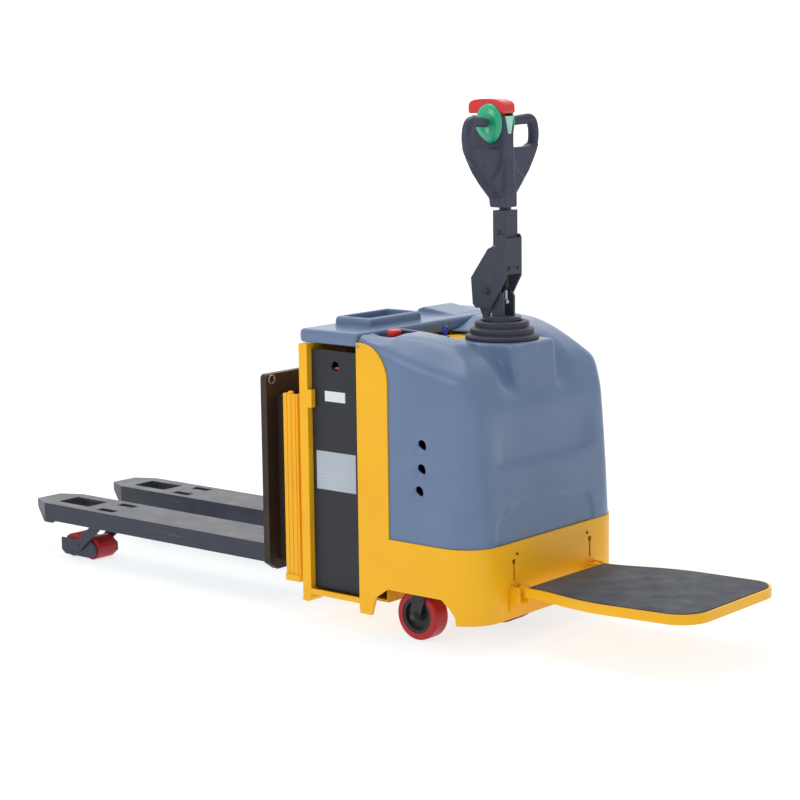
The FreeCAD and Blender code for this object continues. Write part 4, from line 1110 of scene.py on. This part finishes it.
    def _openings(self) -> list[bpy.types.Object]:
        """Shapes the tools for the side plates, the boot seat, the key trough, the stop's pocket and the vents."""
        tools = []
        for sign in (-1, 1):
            plate = [(self.front - 0.02, 0.29), (0.399, 0.29), (0.399, 0.772)] + arc((0.289, 0.772), 0.110, 0, 90, 16)
            plate.append((self.front - 0.02, 0.882))
            sides = sorted((sign * 0.3695, sign * 0.40))
            tools.append(Bench.slab("plate_gap", plate, Axis.Y, *sides))
        tools.append(Bench.turned("boot_seat", [(0, 0.5), (0.070, 0.5), (0.070, self.pillar_top + 0.0005),
                                                (0.113, self.pillar_top + 0.0005), (0.113, 0.95), (0, 0.95)],
                                  (self.steer_x, 0, 0), Axis.Z))
        tools.append(Bench.slab("trough", [(self.front - 0.01, -0.070), (0.438, -0.112), (0.438, 0.112),
                                           (self.front - 0.01, 0.070)], Axis.Z, 0.862, 0.93))
        pocket = Bench.slab("pocket", [(self.front - 0.01, -0.305), (0.385, -0.305), (0.385, -0.212),
                                       (self.front - 0.01, -0.212)], Axis.Z, 0.866, 0.93)
        tools.append(Bench.bevel(pocket, 0.012, 5, lambda mid, way: mid.x > 0.37 and abs(way.z) > 0.9))
        for vent_x, vent_z in self.vents:
            for sign in (-1, 1):
                slot = [(vent_x + a, vent_z + b) for a, b in self._slot_outline()]
                sides = sorted((sign * 0.350, sign * 0.39))
                tools.append(Bench.slab("vent_slot", slot, Axis.Y, *sides))
        return tools

    @staticmethod
    def _slot_outline() -> list[tuple[float, float]]:
        """Draws one slanting teardrop slot, blunt at the top and drawn out below."""
        blunt = arc((0, 0), 0.0122, -20, 200, 12)
        drop = blunt + [(-0.0085, -0.013), (-0.002, -0.021), (0.002, -0.021), (0.0085, -0.013)]
        lean = math.radians(38)
        return [(a * math.cos(lean) - b * math.sin(lean) - 0.003, a * math.sin(lean) + b * math.cos(lean) + 0.005)
                for a, b in drop]


# ---------------------------------------------------------------- battery lid


@dataclass
class BatteryLid:
    """Lid over the battery with a storage tray on the right and a sloping pad on the left."""

    shop: Shop
    low: Point = (0.052, -0.379, 0.865)
    high: Point = (0.279, 0.379, 0.908)
    tray: tuple[float, float, float, float] = (0.100, 0.242, -0.272, -0.021)
    tray_top: float = 0.938
    pad: tuple[float, float, float] = (0.125, 0.272, 0.928)
    wall: float = 0.018

    def build(self) -> None:
        """Builds the lid and hands it over."""
        lid = Bench.block("lid_moulding", self.low, self.high)
        Bench.bevel(lid, 0.012, 5, lambda mid, way: abs(way.z) > 0.9)
        x0, x1, y0, y1 = self.tray
        base = self.high[2] - 0.01
        rise = Bench.slab("tray_rise", [(x0, y0), (x1, y0), (x1, y1), (x0, y1)], Axis.Z, base, self.tray_top)
        Bench.bevel(rise, 0.012, 5, lambda mid, way: abs(way.z) > 0.9)
        Bench.combine(lid, rise, "UNION")
        near, far, peak = self.pad
        pad = Bench.slab("pad_rise", [(x0, base), (x1 + 0.02, base), (x1 + 0.02, self.high[2] - 0.002), (x1, self.high[2] + 0.004),
                                      (x0 + 0.024, peak), (x0, peak - 0.008)], Axis.Y, near, far)
        Bench.bevel(pad, 0.006, 3, lambda mid, way: mid.y < near + 1e-4 or mid.y > far - 1e-4)
        Bench.combine(lid, pad, "UNION")
        well = Bench.slab("tray_well", [(x0 + self.wall, y0 + self.wall), (x1 - self.wall, y0 + self.wall),
                                        (x1 - self.wall, y1 - self.wall), (x0 + self.wall, y1 - self.wall)],
                          Axis.Z, self.high[2] - 0.020, self.tray_top + 0.02)
        Bench.bevel(well, 0.008, 4, lambda mid, way: abs(way.z) > 0.9)
        Bench.combine(lid, well, "DIFFERENCE")
        under = Bench.block("lid_under", (self.low[0] + 0.007, self.low[1] + 0.007, self.low[2] - 0.02),
                            (self.high[0] - 0.007, self.high[1] - 0.007, self.high[2] - 0.028))
        Bench.combine(lid, under, "DIFFERENCE")
        Bench.mould(lid, 0.0030, 9, 0.5)
        Bench.smooth(lid, 50)
        self.shop.hand_over(lid, "lid", "cover_grey", "cover_grey", ["battery_lid"])


# ---------------------------------------------------------------- handle


@dataclass
class TillerHandle:
    """Handle shell with its two hand loops, thumb knobs, red cap and horn wedge."""

    shop: Shop
    web_x: tuple[float, float] = (0.510, 0.554)
    core_half: float = 0.027
    knob: Point = (0.5110, 0.0300, 1.514)
    knob_radii: Point = (0.0490, 0.0190, 0.0580)
    shaft_x: float = 0.515
    shaft: float = 0.009
    loop_radius: float = 0.0170

    def build(self) -> None:
        """Builds every part of the handle."""
        self._shell()
        self._knobs()
        self._cap()
        self._wedge()

    def _shell(self) -> None:
        """Models the neck, web, core and hand loops as one moulding."""
        half = [(0.030, 1.266), (0.034, 1.292), (0.078, 1.331), (0.116, 1.370), (0.144, 1.410), (0.164, 1.446),
                (0.158, 1.452), (0.142, 1.448), (0.130, 1.441), (0.025, 1.441)]
        outline = [(-y, z) for y, z in reversed(half)] + half
        shell = Bench.slab("handle_moulding", outline, Axis.X, *self.web_x)
        Bench.bevel(shell, 0.015, 4, lambda mid, way: abs(way.x) < 0.1)
        side = [(0.524, 1.266), (0.570, 1.266), (0.570, 1.300), (0.562, 1.420), (0.564, 1.537), (0.436, 1.537),
                (0.434, 1.447), (0.470, 1.425), (0.506, 1.385), (0.522, 1.300)]
        core = Bench.slab("handle_core", side, Axis.Y, -self.core_half, self.core_half)
        Bench.bevel(core, 0.005, 2, lambda mid, way: abs(abs(mid.y) - self.core_half) < 1e-4)
        neck = Bench.block("handle_neck", (0.524, -0.031, 1.266), (0.570, 0.031, 1.330))
        bowl = [(0.027, 1.455), (0.0295, 1.425), (0.0345, 1.400), (0.048, 1.377), (0.064, 1.363), (0.082, 1.353)]
        apron = [(-y, z) for y, z in bowl] + [(-0.070, 1.334), (-0.036, 1.300), (0.036, 1.300), (0.070, 1.334)] + bowl[::-1]
        front = Bench.slab("handle_apron", apron, Axis.X, 0.530, 0.5615)
        Bench.bevel(front, 0.003, 2, lambda mid, way: mid.x > 0.561)
        Bench.combine(shell, front, "UNION")
        Bench.combine(shell, core, "UNION")
        Bench.combine(shell, neck, "UNION")
        middle = sum(self.web_x) / 2
        path = [(middle, 0.112, 1.392), (middle, 0.146, 1.420), (middle, 0.1615, 1.455), (middle, 0.1630, 1.492),
                (middle, 0.150, 1.524), (middle - 0.004, 0.118, 1.522), (middle - 0.010, 0.078, 1.519),
                (middle - 0.012, 0.060, 1.517)]
        sizes = (0.75, 1.0, 1.0, 1.0, 1.0, 0.95, 0.88, 0.80)
        for sign in (-1, 1):
            loop = Bench.tube("hand_loop", [(x, sign * y, z) for x, y, z in path], self.loop_radius, sizes)
            Bench.combine(shell, loop, "UNION")
        Bench.mould(shell, 0.0024, 14, 0.8)
        pocket = Bench.slab("wedge_pocket", [(-0.0208, 1.545), (0.0208, 1.545), (0.0062, 1.4815), (-0.0062, 1.4815)],
                            Axis.X, 0.553, 0.58)
        well = Bench.block("cap_well", (0.469, -0.016, 1.528), (0.541, 0.016, 1.56))
        bore = Bench.turned("shaft_bore", [(0, -0.04), (self.shaft + 0.0002, -0.04), (self.shaft + 0.0002, 0.04), (0, 0.04)],
                            (self.shaft_x, 0, self.knob[2]), Axis.Y)
        for tool in (pocket, well, bore):
            Bench.combine(shell, tool, "DIFFERENCE")
        Bench.smooth(shell, 45)
        self.shop.hand_over(shell, "tiller", "handle_plastic", "handle_plastic", ["handle_core", "handle_loops"])
        for sign, side_name in ((-1, "right"), (1, "left")):
            end = (middle - 0.012, sign * 0.0525, 1.517)
            collar = Bench.turned(f"loop_collar_{side_name}", [(0.0, 0.0), (0.0105, 0.0), (0.0120, 0.0015), (0.0132, 0.004),
                                                              (0.0138, 0.009), (0.0134, 0.0115), (0.0, 0.0115)], end, Axis.Y,
                                  flip=sign < 0)
            self.shop.hand_over(Bench.smooth(collar), "tiller", "bolt_black", "handle_plastic")

    def _knobs(self) -> None:
        """Models the dished thumb knobs on their shaft."""
        x, y, z = self.knob
        parts = []
        for sign in (-1, 1):
            knob = Bench.ball("thumb_knob", (x, sign * y, z), self.knob_radii, 72)
            inner = Bench.block("knob_inner", (x - 0.1, min(0, sign * 0.0280), z - 0.1), (x + 0.1, max(0, sign * 0.0280), z + 0.1))
            Bench.combine(knob, inner, "DIFFERENCE")
            dish = Bench.ball("knob_dish", (x + 0.010, sign * (y + 0.036), z - 0.006), (0.0400, 0.0290, 0.0470), 72)
            Bench.combine(knob, dish, "DIFFERENCE")
            Bench.mould(knob, 0.0012, 6, 0.5)
            self._point(knob)
            parts.append(knob)
        parts.append(Bench.turned("knob_shaft", [(0, -0.050), (self.shaft, -0.050), (self.shaft, 0.050), (0, 0.050)],
                                  (self.shaft_x, 0, z), Axis.Y, 40))
        knobs = Bench.joined("thumb_knobs", parts)
        Bench.smooth(knobs, 50)
        self.shop.hand_over(knobs, "throttle", "knob_green", "knob_green", ["throttle_knobs"])

    def _point(self, knob: bpy.types.Object) -> None:
        """Narrows a knob towards its foot."""
        x, _, z = self.knob
        for vertex in knob.data.vertices:
            low = max(0.0, (z - vertex.co.z) / 0.0575)
            vertex.co.x = x + (vertex.co.x - x) * (1 - 0.22 * low * low) + 0.010 * low * low
        knob.data.update()

    def _cap(self) -> None:
        """Models the crowned red cap with its arches over the knobs."""
        outline = ([(0.430, 1.5425), (0.430, 1.5680)] + [(0.436, 1.5770), (0.452, 1.5830), (0.478, 1.5860), (0.514, 1.5862),
                   (0.540, 1.5835), (0.556, 1.5775), (0.5655, 1.5660), (0.5660, 1.5425)])
        cap = Bench.slab("safety_cap", outline, Axis.Y, -0.0285, 0.0285)
        Bench.bevel(cap, 0.009, 4, lambda mid, way: abs(way.z) > 0.8)
        Bench.mould(cap, 0.0013, 9, 0.7)
        for sign in (-1, 1):
            arch = Bench.ball("cap_arch", (self.knob[0], sign * 0.040, self.knob[2]), (0.0560, 0.0225, 0.0605), 64)
            Bench.combine(cap, arch, "DIFFERENCE")
        stem = Bench.block("cap_stem", (0.471, -0.0148, 1.5335), (0.539, 0.0148, 1.555))
        Bench.combine(cap, stem, "UNION")
        Bench.smooth(cap, 45)
        self.shop.hand_over(cap, "belly", "switch_red", "switch_red", ["belly_switch"])

    def _wedge(self) -> None:
        """Models the pale wedge button."""
        wedge = Bench.slab("horn_wedge", [(-0.0195, 1.5353), (0.0195, 1.5353), (0.0058, 1.4827), (-0.0058, 1.4827)],
                           Axis.X, 0.557, 0.5672)
        Bench.bevel(wedge, 0.0028, 4, lambda mid, way: mid.x > 0.5665 or abs(way.x) > 0.9)
        Bench.smooth(wedge, 40)
        self.shop.hand_over(wedge, "horn", "button_pale", "button_pale", ["horn_button"])


# ---------------------------------------------------------------- small fittings


@dataclass
class SteeringBoot:
    """Stepped rubber boot at the foot of the tiller."""

    shop: Shop
    steer_x: float = 0.533

    def build(self) -> None:
        """Spins the boot's tiers with their rolled lips."""
        profile = [(0.062, 0.8725), (0.1095, 0.8725), (0.1108, 0.8740), (0.1108, 0.8815), (0.1100, 0.8838), (0.1075, 0.8850),
                   (0.0975, 0.8862), (0.0952, 0.8875), (0.0950, 0.8905), (0.0962, 0.8925), (0.0966, 0.8945), (0.0966, 0.9015),
                   (0.0955, 0.9042), (0.0930, 0.9052), (0.0835, 0.9062), (0.0812, 0.9075), (0.0808, 0.9105), (0.0818, 0.9125),
                   (0.0822, 0.9145), (0.0822, 0.9215), (0.0812, 0.9245), (0.0785, 0.9262), (0.0690, 0.9280), (0.0640, 0.9275),
                   (0.0622, 0.9250), (0.0620, 0.9200), (0.062, 0.8725)]
        boot = Bench.turned("boot_rubber_tiers", profile, (self.steer_x, 0, 0), Axis.Z, 96)
        Bench.smooth(boot, 60)
        self.shop.hand_over(boot, "chassis", "boot_rubber", "boot_rubber", ["steering_boot"])


@dataclass
class Bolt:
    """Hexagon bolt with a washer, pointing along an axis."""

    name: str
    place: Point
    axis: Axis
    outward: int
    body: str
    size: float = 0.008
    finish: str = "bolt_black"
    slot: str = "machined_steel"

    def build(self, shop: Shop) -> None:
        """Makes the washer and the chamfered head.

        Args:
            shop: Shop that takes the piece over.
        """
        s = self.size
        washer = Bench.turned(self.name, [(0, 0), (s * 0.98, 0), (s * 1.0, s * 0.04), (s * 1.0, s * 0.14), (s * 0.96, s * 0.2),
                                          (0, s * 0.2)], self.place, self.axis, 32, flip=self.outward < 0)
        head = Bench.turned("head", [(0, s * 0.15), (s * 0.86, s * 0.15), (s * 0.86, s * 0.62), (s * 0.74, s * 0.74), (0, s * 0.78)],
                            self.place, self.axis, 6, flip=self.outward < 0)
        made = Bench.joined(self.name, [washer, head])
        Bench.smooth(made, 25)
        shop.hand_over(made, self.body, self.finish, self.slot)


@dataclass
class EmergencyStop:
    """Red mushroom button."""

    shop: Shop
    place: Point = (0.323, -0.254, 0.0)

    def build(self) -> None:
        """Spins the mushroom on its stem."""
        profile = [(0, 0.866), (0.0078, 0.866), (0.0078, 0.8914), (0.0180, 0.8916), (0.0205, 0.8928), (0.0213, 0.8950),
                   (0.0213, 0.9045), (0.0204, 0.9078), (0.0175, 0.9102), (0.0110, 0.9114), (0.0, 0.9118)]
        button = Bench.turned("stop_mushroom", profile, self.place, Axis.Z, 64)
        Bench.smooth(button, 40)
        self.shop.hand_over(button, "estop", "switch_red", "switch_red", ["estop_button"])


@dataclass
class BatteryFittings:
    """Labels and pull straps of the battery doors."""

    shop: Shop
    face: float = 0.360

    def build(self) -> None:
        """Makes the labels on the doors and the pull straps behind their finger holes."""
        for name, low, high, finish in (("door_label_small", (0.137, 0.691), (0.218, 0.7225), "label_white"),
                                        ("door_label_large", (0.099, 0.419), (0.256, 0.537), "label_rows")):
            outline = [(low[0], low[1]), (high[0], low[1]), (high[0], high[1]), (low[0], high[1])]
            label = Bench.slab(name, outline, Axis.Y, -self.face - 0.0006, -self.face)
            Bench.bevel(label, 0.003, 3, lambda mid, way: abs(way.y) > 0.9)
            self.shop.hand_over(label, "chassis", finish, "battery_panel")
        for sign, side in ((-1, "right"), (1, "left")):
            path = [(0.166, sign * 0.3440, 0.7890), (0.173, sign * 0.3465, 0.7915), (0.180, sign * 0.3475, 0.7925),
                    (0.187, sign * 0.3465, 0.7915), (0.194, sign * 0.3440, 0.7890)]
            liner = Bench.smooth(Bench.tube(f"pull_strap_{side}", path, 0.0042))
            self.shop.hand_over(liner, "chassis", "liner_orange", "battery_panel")


@dataclass
class Welds:
    """Uneven weld beads where tubes and plates meet."""

    shop: Shop

    def build(self) -> None:
        """Lays the beads at the foot of the tiller column and along the fork heels."""
        for sign, side in ((-1, "right"), (1, "left")):
            self._bead(f"column_weld_{side}", (0.5265, sign * 0.0362, 1.1515), (0.5655, sign * 0.0362, 1.1515), 0.0030, "tiller", "weld_bead")
        for sign, side in ((-1, "right"), (1, "left")):
            self._bead(f"fork_heel_weld_{side}", (-0.2175, sign * 0.094, 0.1895), (-0.2175, sign * 0.266, 0.1895), 0.0030,
                       "carriage", "fork_paint")

    def _bead(self, name: str, start: Point, end: Point, radius: float, body: str, finish: str) -> None:
        """Lays one bead.

        Args:
            name: Name of the piece.
            start: First point.
            end: Last point.
            radius: Size of the bead.
            body: Body that it rides on.
            finish: Finish of the bead.
        """
        steps = 24
        path = [tuple(a + (b - a) * i / steps for a, b in zip(start, end)) for i in range(steps + 1)]
        sizes = [0.85 + 0.25 * math.sin(i * 2.4) for i in range(steps + 1)]
        self.shop.hand_over(Bench.smooth(Bench.tube(name, path, radius, sizes)), body, finish, "machined_steel")


# ---------------------------------------------------------------- studio


@dataclass
class Studio:
    """Pale floor, soft lights and the camera."""

    target: Point = (0.1293, 0.0, 0.6459)
    azimuth: float = 40.01
    elevation: float = 9.17
    roll: float = -0.72
    distance: float = 6.846
    lens: float = 98.1
    surround: float = 0.60
    floor_glow: float = 0.76

    def build(self) -> None:
        """Sets the scene up."""
        self._floor()
        self._lights()
        self._camera()

    def _floor(self) -> None:
        """Lays a wide floor with an even pale finish, and a glowing white backdrop."""
        bpy.ops.object.select_all(action="DESELECT")
        bpy.ops.mesh.primitive_plane_add(size=60, location=(0, 0, 0))
        floor = Bench.settle("studio_floor")
        finish = bpy.data.materials.new("studio_floor")
        finish.use_nodes = True
        surface = finish.node_tree.nodes["Principled BSDF"]
        surface.inputs["Base Color"].default_value = (0.34, 0.32, 0.30, 1)
        surface.inputs["Roughness"].default_value = 0.9
        surface.inputs["Specular IOR Level"].default_value = 0.1
        surface.inputs["Emission Color"].default_value = (0.95, 1.0, 1.03, 1)
        surface.inputs["Emission Strength"].default_value = self.floor_glow
        floor.data.materials.append(finish)
        bpy.ops.object.select_all(action="DESELECT")
        bpy.ops.mesh.primitive_plane_add(size=60, location=(-14, 17, 0), rotation=(math.radians(90), 0, math.radians(self.azimuth)))
        backdrop = Bench.settle("studio_backdrop")
        white = bpy.data.materials.new("studio_backdrop")
        white.use_nodes = True
        lit = white.node_tree.nodes["Principled BSDF"]
        lit.inputs["Base Color"].default_value = (1, 1, 1, 1)
        lit.inputs["Emission Color"].default_value = (1, 1, 1, 1)
        lit.inputs["Emission Strength"].default_value = 0.6
        backdrop.data.materials.append(white)
        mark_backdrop(floor, backdrop)

    def _lights(self) -> None:
        """Adds a bright surround and three soft lamps."""
        world = bpy.data.worlds.new("studio")
        bpy.context.scene.world = world
        world.use_nodes = True
        glow = world.node_tree.nodes["Background"]
        glow.inputs["Color"].default_value = (1.0, 1.0, 1.0, 1)
        glow.inputs["Strength"].default_value = self.surround
        for name, place, power, size in (("key", (-0.9, -5.2, 3.6), 80, 2.6), ("side", (5.2, 0.6, 3.0), 14, 2.2),
                                         ("top", (-0.6, 0.8, 5.6), 120, 3.4)):
            lamp = bpy.data.lights.new(name, "AREA")
            lamp.energy = power
            lamp.size = size
            made = bpy.data.objects.new(name, lamp)
            made.location = place
            made.rotation_euler = (Vector((0.1, 0, 0.5)) - Vector(place)).to_track_quat("-Z", "Y").to_euler()
            bpy.context.collection.objects.link(made)
        bpy.context.scene.view_settings.view_transform = "Standard"

    def _camera(self) -> None:
        """Places the camera and makes it the scene's own."""
        turn, rise, tip = (math.radians(a) for a in (self.azimuth, self.elevation, self.roll))
        back = Vector((math.sin(turn) * math.cos(rise), -math.cos(turn) * math.cos(rise), math.sin(rise)))
        right = Vector((math.cos(turn), math.sin(turn), 0))
        up = back.cross(right)
        across = right * math.cos(tip) + up * math.sin(tip)
        above = up * math.cos(tip) - right * math.sin(tip)
        camera = bpy.data.objects.new("camera", bpy.data.cameras.new("camera"))
        camera.data.lens = self.lens
        camera.data.sensor_width = 36
        camera.data.clip_end = 100
        place = Vector(self.target) + back * self.distance
        camera.matrix_world = Matrix(((across.x, above.x, back.x, place.x), (across.y, above.y, back.y, place.y),
                                      (across.z, above.z, back.z, place.z), (0, 0, 0, 1)))
        bpy.context.collection.objects.link(camera)
        bpy.context.scene.camera = camera


# ---------------------------------------------------------------- the truck


def refinish(frame: dict, shop: Shop) -> None:
    """Gives every carried-over CAD node the finish of its record slot.

    Args:
        frame: Loaded frame.
        shop: Shop with the finishes.
    """
    slots = {part["node"]: part["material_slot"] for part in frame["record"]["subparts"]}
    looks = {"carriage_frame": "backrest_paint", "gas_spring": "motor_black"}
    for name, node in frame["nodes"].items():
        for holder in node.material_slots:
            holder.material = shop.materials[looks.get(name, slots[name])]
        LOG.info("%s finished in %s", name, looks.get(name, slots[name]))


def fit_steelwork(shop: Shop) -> None:
    """Makes the rings in the backrest's holes and the strut's steel eye.

    Args:
        shop: Shop that takes the pieces over.
    """
    ring = [(0.0111, -0.0004), (0.0150, -0.0004), (0.0156, 0.0004), (0.0150, 0.0016), (0.0118, 0.0020), (0.0111, 0.0012),
            (0.0111, -0.0004)]
    for sign, side in ((-1, "right"), (1, "left")):
        made = Bench.turned(f"backrest_ring_{side}", ring, (-0.190, sign * 0.246, 0.714), Axis.X, 40)
        shop.hand_over(Bench.smooth(made), "carriage", "bolt_zinc", "backrest_paint")
    eye = [(0.0, -0.0068), (0.0075, -0.0068), (0.0092, -0.0050), (0.0098, 0.0), (0.0092, 0.0050), (0.0075, 0.0068), (0.0, 0.0068)]
    sleeve = [(0.0, 0.990), (0.0062, 0.990), (0.0062, 1.016), (0.0052, 1.018), (0.0, 1.018)]
    parts = [Bench.turned("strut_eye", eye, (0.547, 0, 0.984), Axis.Y, 40),
             Bench.turned("strut_sleeve", sleeve, (0.547, 0, 0), Axis.Z, 32)]
    shop.hand_over(Bench.smooth(Bench.joined("strut_end_fitting", parts)), "tiller", "bolt_zinc", "machined_steel")
    Bolt("web_screw_right", (0.5525, -0.112, 1.392), Axis.X, 1, "tiller", 0.0042).build(shop)
    Bolt("web_screw_left", (0.5525, 0.112, 1.392), Axis.X, 1, "tiller", 0.0042).build(shop)


def write_size(key: str, sizes: dict[str, list[list[float]]]) -> None:
    """Args:
        key: Name that the box is kept under.
        sizes: Boxes so far, changed in place.
    """
    low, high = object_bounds()
    sizes[key] = [list(low), list(high)]


def fit_bolts(shop: Shop) -> None:
    """Fits the visible screws and bolts.

    Args:
        shop: Shop that takes the pieces over.
    """
    bolts = []
    for sign, side in ((-1, "right"), (1, "left")):
        bolts += [
            Bolt(f"pivot_bolt_{side}", (0.507, sign * 0.040, 1.018), Axis.Y, sign, "tiller", 0.013),
            Bolt(f"side_plate_screw_{side}", (0.2875, sign * 0.380, 0.8700), Axis.Y, sign, "chassis", 0.0056, "bolt_zinc"),
            Bolt(f"channel_bolt_{side}", (0.578, sign * 0.022, 1.086), Axis.X, 1, "tiller", 0.0065),
            Bolt(f"column_bolt_{side}", (0.547, sign * 0.034, 1.194), Axis.Y, sign, "tiller", 0.0065),
            Bolt(f"castor_axle_bolt_{side}", (0.470, sign * 0.354, 0.075), Axis.Y, sign, f"castor_swivel_{side}", 0.012),
            Bolt(f"hinge_screw_{side}", (0.720, sign * 0.178, 0.268), Axis.X, 1, "chassis", 0.0045),
        ]
    bolts.append(Bolt("rim_stud", (1.12, -0.2335, 0.171), Axis.Y, -1, "platform", 0.0045))
    for bolt in bolts:
        bolt.build(shop)


def main() -> None:
    """Loads the frame, builds the truck's looks and reports each piece."""
    logging.basicConfig(level=logging.INFO, format="%(message)s")
    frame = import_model()
    sizes: dict[str, list[list[float]]] = {}
    write_size("cad", sizes)
    Studio().build()
    effects = SharedEffects()
    shop = Shop({name: finish.material(effects) for name, finish in truck_finishes().items()})
    refinish(frame, shop)
    for part in (BodyCover(shop), BatteryLid(shop), TillerHandle(shop), SteeringBoot(shop), EmergencyStop(shop),
                 BatteryFittings(shop), Welds(shop)):
        part.build()
    fit_bolts(shop)
    fit_steelwork(shop)
    write_size("visual", sizes)
    LOG.info("%d new pieces", len(shop.made))


if __name__ == "__main__":
    main()
